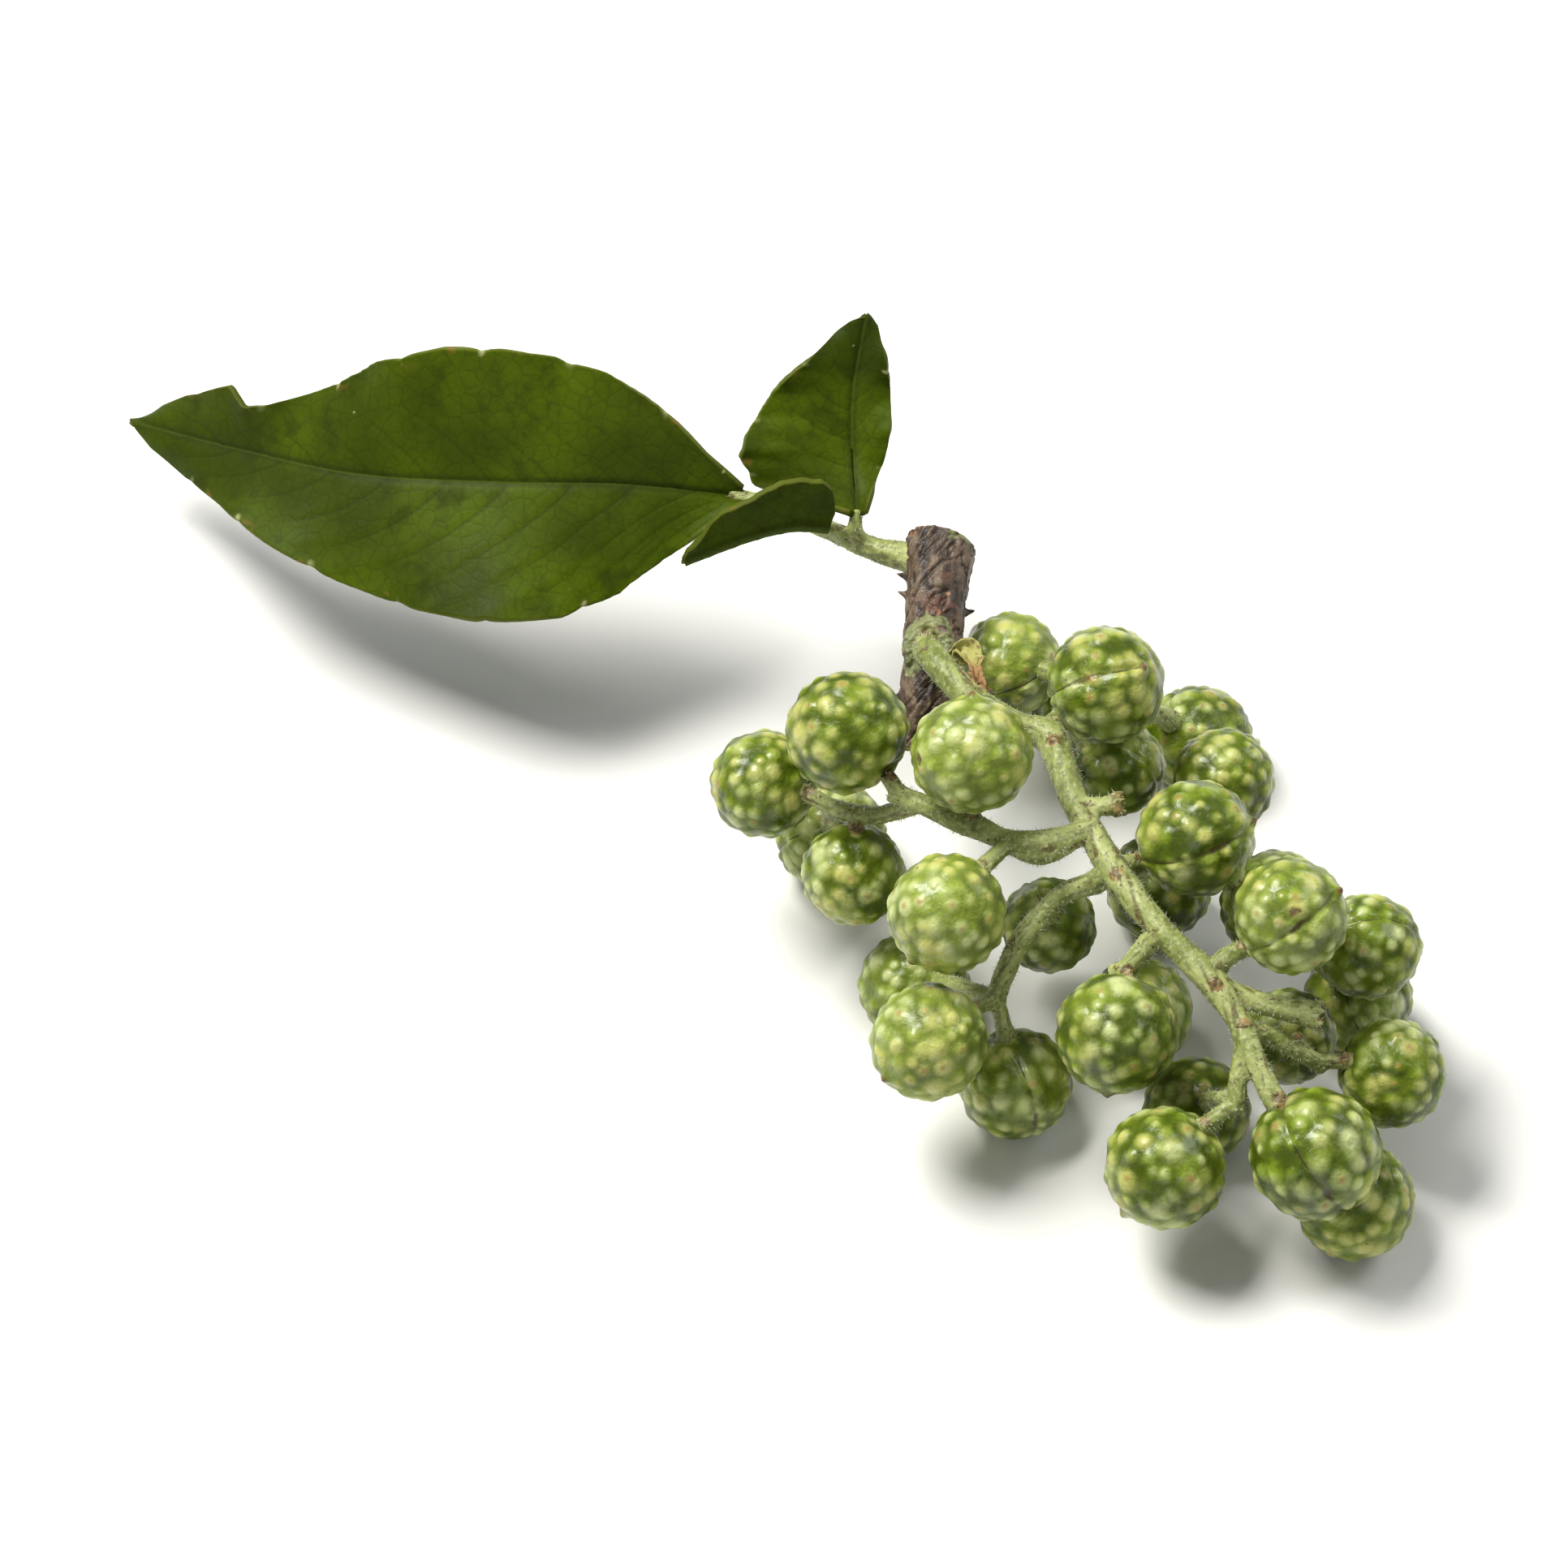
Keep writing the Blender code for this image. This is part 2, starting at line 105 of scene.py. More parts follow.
class Finish:
    """The nodes of one surface's look, ending in the shader that every one starts with."""

    def __init__(self, name, **plain):
        self.material = bpy.data.materials.new(name)
        self.material.use_nodes = True
        self.tree = self.material.node_tree
        self.shader = self.tree.nodes["Principled BSDF"]
        for socket, value in plain.items():
            self.feed(self.shader.inputs[socket.replace("_", " ")], value)

    def feed(self, socket, value):
        if isinstance(value, Wire):
            self.tree.links.new(value.socket, socket)
        else:
            socket.default_value = value

    def node(self, kind, settings, values):
        made = self.tree.nodes.new(kind)
        for name, value in settings.items():
            setattr(made, name, value)
        for key, value in values.items():
            self.feed(made.inputs[key], value)
        return {socket.name: Wire(self, socket) for socket in made.outputs if socket.enabled}

    def coordinates(self, stretch=(1.0, 1.0, 1.0)):
        place = self.node("ShaderNodeTexCoord", {}, {})["Object"]
        return self.node("ShaderNodeMapping", {}, {"Vector": place, "Scale": stretch})["Vector"]

    def noise(self, size, detail=3.0, where=None):
        """Cloudy values from 0 to 1 with features of a size in millimetres."""
        values = {
            "Vector": where or self.coordinates(),
            "Scale": 1.0 / (size * MM),
            "Detail": detail,
            "Roughness": NOISE_ROUGHNESS,
        }
        return self.node("ShaderNodeTexNoise", {}, values)["Fac"]

    def cells(self, size, feature="F1"):
        """How far it is to scattered points, or to the lines between them, as a share of a size."""
        values = {"Vector": self.coordinates(), "Scale": 1.0 / (size * MM)}
        return self.node("ShaderNodeTexVoronoi", {"feature": feature}, values)["Distance"]

    def attribute(self, name):
        return self.node("ShaderNodeAttribute", {"attribute_name": name}, {})["Fac"]

    def step(self, value, low, high):
        """A soft step from 0 at low to 1 at high."""
        values = {"Value": value, "From Min": low, "From Max": high}
        return self.node("ShaderNodeMapRange", {"interpolation_type": "SMOOTHSTEP"}, values)["Result"]

    def mix(self, share, under, over):
        """Lay one colour over another by a share."""
        values = {0: share, 6: under, 7: over}
        return self.node("ShaderNodeMix", {"data_type": "RGBA"}, values)["Result"]

    def wear(self, colour, roughness, height, depth):
        """End the finish with its colour, its roughness and its relief in millimetres."""
        self.feed(self.shader.inputs["Base Color"], colour)
        self.feed(self.shader.inputs["Roughness"], roughness)
        values = {"Height": height, "Strength": 1.0, "Distance": depth * MM}
        self.feed(self.shader.inputs["Normal"], self.node("ShaderNodeBump", {}, values)["Normal"])
        return self.material


def pick(*pieces):
    """Select these pieces and nothing else."""
    bpy.ops.object.select_all(action="DESELECT")
    for piece in pieces:
        piece.select_set(True)
    bpy.context.view_layer.objects.active = pieces[0]


def look_from(place, target):
    return (target - place).to_track_quat("-Z", "Y").to_euler()


def darkened(colour, share):
    return tuple(share * part for part in colour[:3]) + (1.0,)


bpy.ops.object.select_all(action="DESELECT")
target = seen(*LOOKED_AT)
camera_place = target + Vector((0.0, -math.cos(VIEW), math.sin(VIEW))) * CAMERA_REACH
bpy.ops.object.camera_add(location=camera_place * MM, rotation=look_from(camera_place, target))
camera = bpy.context.object
camera.data.lens = CAMERA_LENS
camera.data.clip_start = CLIP_START
bpy.context.scene.camera = camera
for place, width, power, colour in LIGHTS:
    light_place = Vector(place)
    bpy.ops.object.light_add(type="AREA", location=light_place * MM, rotation=look_from(light_place, target))
    light = bpy.context.object
    light.data.size = width * MM
    light.data.energy = power
    light.data.color = colour
world = bpy.data.worlds.new("soft_sky")
world.use_nodes = True
world.node_tree.nodes["Background"].inputs["Color"].default_value = SKY_COLOUR
world.node_tree.nodes["Background"].inputs["Strength"].default_value = SKY_STRENGTH
bpy.context.scene.world = world
bpy.context.scene.view_settings.view_transform = "Standard"

bpy.ops.mesh.primitive_plane_add(size=TABLE_WIDTH)
table = bpy.context.object
table.name = "table_top"
paint = Finish("table_paint")
mottle = paint.noise(60.0, 2.0)
colour = paint.mix(mottle, darkened(TABLE_COLOUR, TABLE_SHADE), TABLE_COLOUR)
table.data.materials.append(paint.wear(colour, 0.6, mottle, 0.01))

# The woody twig is a short piece of last year's growth. Its dark bark has split lengthwise, it
# was cut slantwise at its upper end and snapped at its lower one. It bears small prickles, and
# the spongy rim that the panicle's stem grew out of.
TWIG = [
    (7.8, 11.5, 10.6, 3.35),
    (7.7, 10.0, 10.4, 3.1),
    (7.5, 8.4, 10.0, 2.8),
    (7.4, 7.0, 9.5, 2.9),
    (7.2, 5.2, 8.9, 2.6),
    (6.9, 3.4, 8.0, 2.5),
    (6.5, 1.8, 6.9, 2.1),
]
# Each prickle: its foot, the way that it points, and its length.
PRICKLES = [
    ((6.4, 9.7, 10.4), (-1.0, 0.1, 0.25), 0.75),
    ((6.35, 8.9, 10.2), (-1.0, 0.0, 0.4), 0.65),
    ((8.65, 8.1, 9.5), (1.0, 0.25, -0.1), 0.7),
    ((6.05, 4.3, 8.6), (-1.0, -0.2, 0.1), 0.75),
]
PRICKLE_RADII = [0.42, 0.34, 0.17, 0.05]
# The spongy rim bends over the foot of the panicle's stem. It fades out between two distances.
COLLAR = [
    (6.4, 5.8, 9.9, 0.5),
    (6.4, 6.6, 10.25, 0.85),
    (6.68, 7.25, 10.5, 0.95),
    (7.15, 7.6, 10.7, 1.0),
    (7.65, 7.3, 10.62, 0.95),
    (7.93, 6.7, 10.4, 0.85),
    (7.98, 5.9, 10.1, 0.5),
]
COLLAR_FADE = (0.45, 0.75)
# The bark's marks: the round scar of a fallen leaf, coloured dots, and the rusty groove over
# the panicle's stem. Across, up, height and reach.
LEAF_SCAR = (7.55, 8.75, 11.2, 0.5)
BARK_DOTS = [(7.67, 8.15, 11.1, 0.17), (8.08, 8.95, 11.2, 0.14), (7.15, 7.25, 10.8, 0.6)]
BARK_VOXEL = 0.08
BARK_CRACK = 0.13
BARK_SWELL = 0.09
BARK_GRAIN = 0.03
BARK_SHRINK = 0.05
COLLAR_GRAIN = 0.1
# Where the twig is cut, counted in sampled places from its upper end, and which way the cut faces.
CUT_PLACE = 3
CUT_SLANT = (0.25, 1.0, 0.1)
RING_WAVES = 17.0
RING_HEIGHT = 0.02
LOWER_RINGS = 1.35
SNAP_DEPTH = 0.25
SNAP_SPLINTERS = 0.3
BARK_DARK = (0.024, 0.015, 0.010, 1.0)
BARK_BROWN = (0.088, 0.052, 0.028, 1.0)
BARK_SHEEN_GREY = (0.23, 0.18, 0.12, 1.0)
BARK_RED = (0.125, 0.045, 0.020, 1.0)
BARK_ORANGE = (0.28, 0.12, 0.04, 1.0)
MOSS_GREEN = (0.21, 0.235, 0.095, 1.0)
WOOD_PALE = (0.52, 0.42, 0.22, 1.0)
WOOD_RING = (0.30, 0.20, 0.085, 1.0)
WOOD_PITH = (0.62, 0.55, 0.38, 1.0)


def curve(points, steps):
    """Sample a smooth curve through points of any number of values, steps to each span."""
    ends = [points[0], *points, points[-1]]
    sampled = []
    for span in range(len(points) - 1):
        a, b, c, d = ends[span : span + 4]
        for step in range(steps):
            t = step / steps
            values = []
            for p, q, r, s in zip(a, b, c, d):
                bend = (2 * p - 5 * q + 4 * r - s) * t**2 + (3 * q - p - 3 * r + s) * t**3
                values.append(0.5 * (2 * q + (r - p) * t + bend))
            sampled.append(values)
    sampled.append(list(points[-1]))
    return sampled


def laid_out(points, steps):
    """The places and radii of a stem, whose points give across, up, height and thickness."""
    sampled = curve(points, steps)
    return [seen(*point[:3]) for point in sampled], [point[3] / 2 for point in sampled]


def rod(places, radii):
    """A round stem with closed ends, drawn as a curve and made a mesh."""
    bpy.ops.curve.primitive_bezier_curve_add()
    drawn = bpy.context.object
    drawn.data.splines.clear()
    drawn.data.dimensions = "3D"
    drawn.data.bevel_depth = 1.0
    drawn.data.bevel_resolution = 5
    drawn.data.use_fill_caps = True
    line = drawn.data.splines.new("POLY")
    line.points.add(len(places) - 1)
    for point, place, radius in zip(line.points, places, radii):
        point.co = (*place, 1.0)
        point.radius = radius
    pick(drawn)
    bpy.ops.object.convert(target="MESH")
    made = bpy.context.object
    bpy.ops.object.mode_set(mode="EDIT")
    bpy.ops.mesh.select_all(action="SELECT")
    bpy.ops.mesh.remove_doubles(threshold=0.0005)
    bpy.ops.object.mode_set(mode="OBJECT")
    return made


def grow_together(parts, voxel, rounds):
    """Join stems into one skin, with their forks rounded over."""
    pick(*parts)
    if len(parts) > 1:
        bpy.ops.object.join()
    made = bpy.context.object
    skin = made.modifiers.new("skin", "REMESH")
    skin.mode = "VOXEL"
    skin.voxel_size = voxel
    skin.use_smooth_shade = True
    bpy.ops.object.modifier_apply(modifier=skin.name)
    soften = made.modifiers.new("soften", "SMOOTH")
    soften.factor = 0.5
    soften.iterations = rounds
    bpy.ops.object.modifier_apply(modifier=soften.name)
    return made


def read_points(piece):
    """A piece's vertices and their normals, as two arrays."""
    count = len(piece.data.vertices)
    points = np.empty(count * 3)
    piece.data.vertices.foreach_get("co", points)
    normals = np.empty(count * 3)
    piece.data.vertices.foreach_get("normal", normals)
    return points.reshape(-1, 3), normals.reshape(-1, 3)


def write_points(piece, points):
    piece.data.vertices.foreach_set("co", points.ravel())
    piece.data.update()


def mark(piece, name, values):
    """Give a piece's points a value each, which its finish reads by name."""
    made = piece.data.attributes.new(name, "FLOAT", "POINT")
    made.data.foreach_set("value", np.asarray(values, dtype=np.float32))


def cloud(points, size, seed, detail=2):
    """Cloudy values from about -1 to 1 at each point, with features of a size."""
    shift = Vector((seed * 13.7, seed * 7.3, seed * 3.1))
    return np.array([noise.fractal(Vector(point) / size + shift, 1.0, 2.0, detail) for point in points])


def settle(piece, name, material, slot, *nodes):
    """Finish a piece: name it, bring it to metres, dress it and fix it to the sprig."""
    piece.name = name
    piece.data.name = name
    piece.data.transform(Matrix.Scale(MM, 4))
    piece.data.materials.clear()
    piece.data.materials.append(material)
    piece.data.shade_smooth()
    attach(piece, "root")
    if nodes:
        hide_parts(*nodes)
    return piece


def lie_on(points, lines):
    """For each point, how far along its nearest line it lies, and the way out from that line."""
    spots = []
    runs = []
    ways = []
    for line in lines:
        line = np.array([tuple(place) for place in line])
        steps = np.diff(line, axis=0)
        lengths = np.linalg.norm(steps, axis=1)
        spots.append(line)
        runs.append(np.concatenate([[0.0], np.cumsum(lengths)]))
        ways.append(np.vstack([steps, steps[-1:]]) / np.append(lengths, lengths[-1])[:, None])
    spots = np.vstack(spots)
    nearest = ((spots**2).sum(axis=1) - 2.0 * points @ spots.T).argmin(axis=1)
    way = np.vstack(ways)[nearest]
    out = points - spots[nearest]
    beyond = (out * way).sum(axis=1)
    out -= way * beyond[:, None]
    return np.concatenate(runs)[nearest] + beyond, out / np.linalg.norm(out, axis=1)[:, None]


def strips(along, out, width, stretch, seed):
    """Cloudy values drawn out along a stem: strips of a width, so many times as long."""
    places = np.column_stack([out / width + seed, along / (width * stretch)])
    return np.array([noise.fractal(Vector((a + 3.1 * d, b, c + d)), 1.0, 2.0, 3) for a, b, c, d in places])


def soft_step(value, low, high):
    share = np.clip((value - low) / (high - low), 0.0, 1.0)
    return share * share * (3.0 - 2.0 * share)


places, radii = laid_out(TWIG, 10)
wood = rod(places, radii)
pick(wood)
bpy.ops.object.mode_set(mode="EDIT")
bpy.ops.mesh.select_all(action="SELECT")
bpy.ops.mesh.bisect(plane_co=places[CUT_PLACE], plane_no=CUT_SLANT, use_fill=True, clear_outer=True)
bpy.ops.object.mode_set(mode="OBJECT")
parts = [wood]
for foot, side, length in PRICKLES:
    root = seen(*foot)
    way = Vector(side).normalized()
    tip = root + way * length
    bend = root.lerp(tip, 0.5)
    parts.append(rod([root - way * 0.5, root, bend, tip], PRICKLE_RADII))
rim_places, rim_radii = laid_out(COLLAR, 6)
parts.append(rod(rim_places, rim_radii))
twig = grow_together(parts, BARK_VOXEL, 2)
points, normals = read_points(twig)
along, out = lie_on(points, [places])
flat = points - np.array(places[CUT_PLACE])
beyond = flat @ np.array(Vector(CUT_SLANT).normalized())
cut = soft_step(beyond, -0.09, -0.02)
run = np.array((places[0] - places[2 * CUT_PLACE]).normalized())
flat -= np.outer(flat @ run, run)
from_pith = np.linalg.norm(flat, axis=1)
snapped = soft_step(along, along.max() - 0.35, along.max() - 0.05)
lower_run = np.array((places[-1] - places[-4]).normalized())
lower_flat = points - np.array(places[-1])
lower_flat -= np.outer(lower_flat @ lower_run, lower_run)
from_pith = np.where(snapped > 0.0, LOWER_RINGS * np.linalg.norm(lower_flat, axis=1), from_pith)
rim_away = np.array([np.linalg.norm(points - np.array(place), axis=1) for place in rim_places])
collar = 1.0 - soft_step(rim_away.min(axis=0), *COLLAR_FADE)
cracks = 1.0 - soft_step(np.abs(strips(along, out, 0.6, 5.0, 4)), 0.0, 0.16)
scar_rim = np.linalg.norm(points - np.array(seen(*LEAF_SCAR[:3])), axis=1) - LEAF_SCAR[3]
cracks = np.maximum(cracks, 0.6 * np.exp(-((scar_rim / 0.07) ** 2))) * (1.0 - 0.8 * collar)
dots = np.zeros(len(points))
for across, up, height, reach in BARK_DOTS:
    away = np.linalg.norm(points - np.array(seen(across, up, height)), axis=1)
    dots = np.maximum(dots, 1.0 - soft_step(away, 0.6 * reach, reach))
swell = cloud(points, 1.1, 1)
grain = cloud(points, 0.28, 2)
relief = BARK_SWELL * swell + (BARK_GRAIN + COLLAR_GRAIN * collar) * grain - BARK_CRACK * cracks
rings = RING_HEIGHT * np.sin(from_pith * RING_WAVES) + RING_HEIGHT * grain
points += normals * (relief * (1.0 - cut) - BARK_SHRINK + rings * cut)[:, None]
points -= np.outer(snapped * (SNAP_DEPTH + SNAP_SPLINTERS * cloud(points, 0.35, 3)), lower_run)
write_points(twig, points)
mark(twig, "crack", cracks)
mark(twig, "cut", np.maximum(cut, snapped * 0.9))
mark(twig, "from_pith", from_pith)
rim = soft_step(beyond, -0.9, -0.2) * (1.0 - cut)
blots = 0.5 + 0.8 * cloud(points, 0.5, 6)
mark(twig, "rust", np.maximum(rim * soft_step(-flat[:, 0], 0.2, 1.0) * blots, dots))
mark(twig, "moss", np.maximum(rim * soft_step(flat[:, 0], -0.6, 0.5) * blots, collar * (0.2 + blots)))

bark = Finish("bark", Specular_IOR_Level=0.45)
fibres = bark.noise(0.5, 4.0, bark.coordinates((1.0, 0.25, 1.0)))
blotch = bark.noise(1.6, 2.0)
crumbs = bark.noise(0.12, 3.0)
colour = bark.mix(bark.step(fibres, 0.35, 0.6), BARK_DARK, BARK_BROWN)
colour = bark.mix(bark.step(blotch, 0.52, 0.66) * 0.6, colour, BARK_RED)
# Painted sheen: a grey-lilac sheen laid as colour on the raised fibres of the bark.
colour = bark.mix(bark.step(fibres + crumbs * 0.3, 0.62, 0.82) * 0.5, colour, BARK_SHEEN_GREY)
colour = bark.mix(bark.step(bark.attribute("crack"), 0.3, 0.95) * 0.85, colour, BARK_DARK)
colour = bark.mix(bark.step(bark.attribute("rust") + (crumbs - 0.5), 0.3, 1.0), colour, BARK_ORANGE)
colour = bark.mix(bark.step(bark.attribute("moss"), 0.25, 0.7) * 0.9, colour, MOSS_GREEN)
pith = bark.attribute("from_pith")
ring = bark.step(bark.noise(0.16, 2.0), 0.3, 0.7)
heart = bark.mix(ring, WOOD_RING, WOOD_PALE)
heart = bark.mix(1.0 - bark.step(pith, 0.30, 0.42), heart, WOOD_PITH)
heart = bark.mix(bark.step(pith, 1.12, 1.3), heart, BARK_BROWN)
colour = bark.mix(bark.attribute("cut"), colour, heart)
bark_look = bark.wear(colour, 0.3 + 0.3 * fibres, fibres * 0.7 + crumbs * 0.5, 0.08)
settle(twig, "woody_twig_wood", bark_look, "bark", "woody_twig")

# The panicle's green stem grew out of the twig at a swollen collar. It is hairy, ribbed and
# freckled, swells where its branches leave, and bears stubs whose berries have dropped.
AXIS = [
    (7.1, 6.5, 9.7, 1.3),
    (7.1, 6.4, 10.8, 1.44),
    (7.4, 6.0, 11.25, 1.44),
    (8.05, 5.2, 11.35, 1.42),
    (9.1, 4.2, 11.2, 1.38),
    (11.1, 3.0, 10.8, 1.3),
    (12.7, 2.3, 10.6, 1.65),
    (13.6, -0.4, 10.8, 1.3),
    (15.5, -3.7, 10.6, 1.45),
    (17.4, -6.1, 10.2, 1.25),
    (19.6, -8.3, 9.6, 1.5),
    (20.75, -10.0, 9.05, 1.25),
    (20.95, -10.5, 8.9, 1.2),
]
STUBS = [
    [(13.3, -0.5, 10.8, 1.0), (14.6, -0.6, 11.0, 0.9), (15.6, -0.5, 11.1, 1.1)],
    [(20.0, -8.6, 9.4, 1.1), (22.2, -9.4, 9.0, 1.1), (24.3, -9.8, 8.8, 1.35)],
]
BRACT = [
    (8.2, 6.0, 10.6),
    (8.8, 6.3, 10.9),
    (9.15, 5.7, 11.3),
    (9.35, 5.0, 11.4),
    (9.75, 4.4, 11.3),
]
# Where the stem is scarred: across, up, height and how far the scar reaches.
SCARS = [
    (6.85, 7.0, 11.0, 0.34),
    (7.15, 7.2, 11.15, 0.4),
    (7.5, 7.0, 11.1, 0.34),
    (12.7, 2.3, 11.2, 0.6),
    (15.6, -0.5, 11.1, 1.0),
    (15.4, -3.6, 11.1, 0.6),
    (24.3, -9.8, 8.8, 1.0),
    (19.7, -8.4, 10.2, 0.6),
    (20.9, -10.3, 9.2, 0.7),
]
STEM_VOXEL = 0.095
STEM_RIBS = 0.03
STEM_KNOTS = 0.035
STEM_PITS = 0.015
STEM_WARTS = 0.012
STEM_SHRINK = 0.035
SCAR_PITS = 0.1
STEM_PALE = (0.38, 0.42, 0.15, 1.0)
STEM_CREAM = (0.55, 0.55, 0.28, 1.0)
STEM_GREEN = (0.18, 0.22, 0.045, 1.0)
STEM_DARK = (0.085, 0.105, 0.022, 1.0)
SCAR_TAN = (0.33, 0.22, 0.075, 1.0)
SCAR_BROWN = (0.12, 0.070, 0.026, 1.0)
FRECKLE = (0.10, 0.052, 0.018, 1.0)


def stem_skin(lines, name, nodes, scars, seed):
    """Grow rods together and give them ribs, bumps and the marks of their scars."""
    made = grow_together([rod(*line) for line in lines], STEM_VOXEL, 4)
    points, normals = read_points(made)
    ribs = strips(*lie_on(points, [line[0] for line in lines]), 0.5, 6.0, seed)
    knots = cloud(points, 1.3, seed + 5)
    scarred = np.zeros(len(points))
    for place, reach in scars:
        away = np.linalg.norm(points - np.array(place), axis=1)
        scarred = np.maximum(scarred, 1.0 - soft_step(away, 0.35 * reach, reach))
    pits = cloud(points, 0.3, seed + 9)
    warts = cloud(points, 0.16, seed + 2, 1)
    relief = STEM_RIBS * ribs + STEM_KNOTS * knots
    relief = relief + (STEM_PITS + SCAR_PITS * scarred) * pits + STEM_WARTS * warts - STEM_SHRINK
    points += normals * relief[:, None]
    points[:, 2] = np.maximum(points[:, 2], 0.0)
    write_points(made, points)
    mark(made, "scar", scarred)
    mark(made, "rib", ribs)
    mark(made, "wart", warts)
    return settle(made, name, stem_look, "stem", *nodes)


stem = Finish("green_stem", Subsurface_Weight=0.07, Subsurface_Scale=0.001, Specular_IOR_Level=0.45)
stem.shader.inputs["Subsurface Radius"].default_value = (0.6, 1.0, 0.25)
broad = stem.noise(2.6, 2.0)
fine = stem.noise(0.35, 3.0)
freckles = stem.cells(0.48)
scar = stem.attribute("scar")
colour = stem.mix(stem.step(broad + fine * 0.35, 0.45, 0.85), STEM_GREEN, STEM_PALE)
colour = stem.mix(stem.step(stem.noise(0.9, 3.0), 0.58, 0.74) * 0.6, colour, STEM_DARK)
tan = stem.mix(stem.step(fine, 0.42, 0.62), SCAR_BROWN, SCAR_TAN)
colour = stem.mix(stem.step(scar + fine * 0.4, 0.62, 1.0), colour, tan)
rib = stem.attribute("rib")
# Painted shade: the grooves between the ribs are darkened.
colour = stem.mix((1.0 - stem.step(rib, -0.35, 0.05)) * 0.5, colour, STEM_DARK)
streaks = (1.0 - stem.step(rib, -0.5, -0.3)) * stem.step(broad, 0.42, 0.56)
colour = stem.mix(streaks * 0.7, colour, FRECKLE)
colour = stem.mix(stem.step(stem.attribute("wart"), 0.0, 0.5) * 0.4, colour, STEM_CREAM)
speck = (1.0 - stem.step(freckles, 0.10, 0.19)) * stem.step(broad, 0.3, 0.5)
colour = stem.mix(speck * 0.85, colour, FRECKLE)
flaw = stem.step(stem.noise(0.55, 4.0), 0.6, 0.68) * stem.step(stem.noise(2.2, 1.0), 0.45, 0.6)
colour = stem.mix(flaw * 0.8, colour, FRECKLE)
stem_look = stem.wear(colour, 0.4 + 0.2 * fine, fine * 0.6 + stem.noise(0.12, 2.0) * 0.4, 0.05)

lines = [laid_out(AXIS, 8)]
axis_places = lines[0][0]
for points in STUBS:
    places, radii = laid_out(points, 6)
    lines.append((places, radii))
    end = places[-1]
    run = (end - places[-3]).normalized()
    beside = run.orthogonal().normalized()
    for number in range(6):
        out = Matrix.Rotation(math.tau * number / 6, 3, run) @ beside
        foot = end + out * radii[-1] * 0.75 - run * 0.25
        tooth = [foot, foot + run * 0.3 + out * 0.05, foot + run * 0.55 + out * 0.16]
        lines.append((tooth, [0.2, 0.17, 0.07]))
scars = [(seen(*scar[:3]), scar[3]) for scar in SCARS]
green_parts = [stem_skin(lines, "panicle_stem", ["panicle_axis"], scars, 3)]


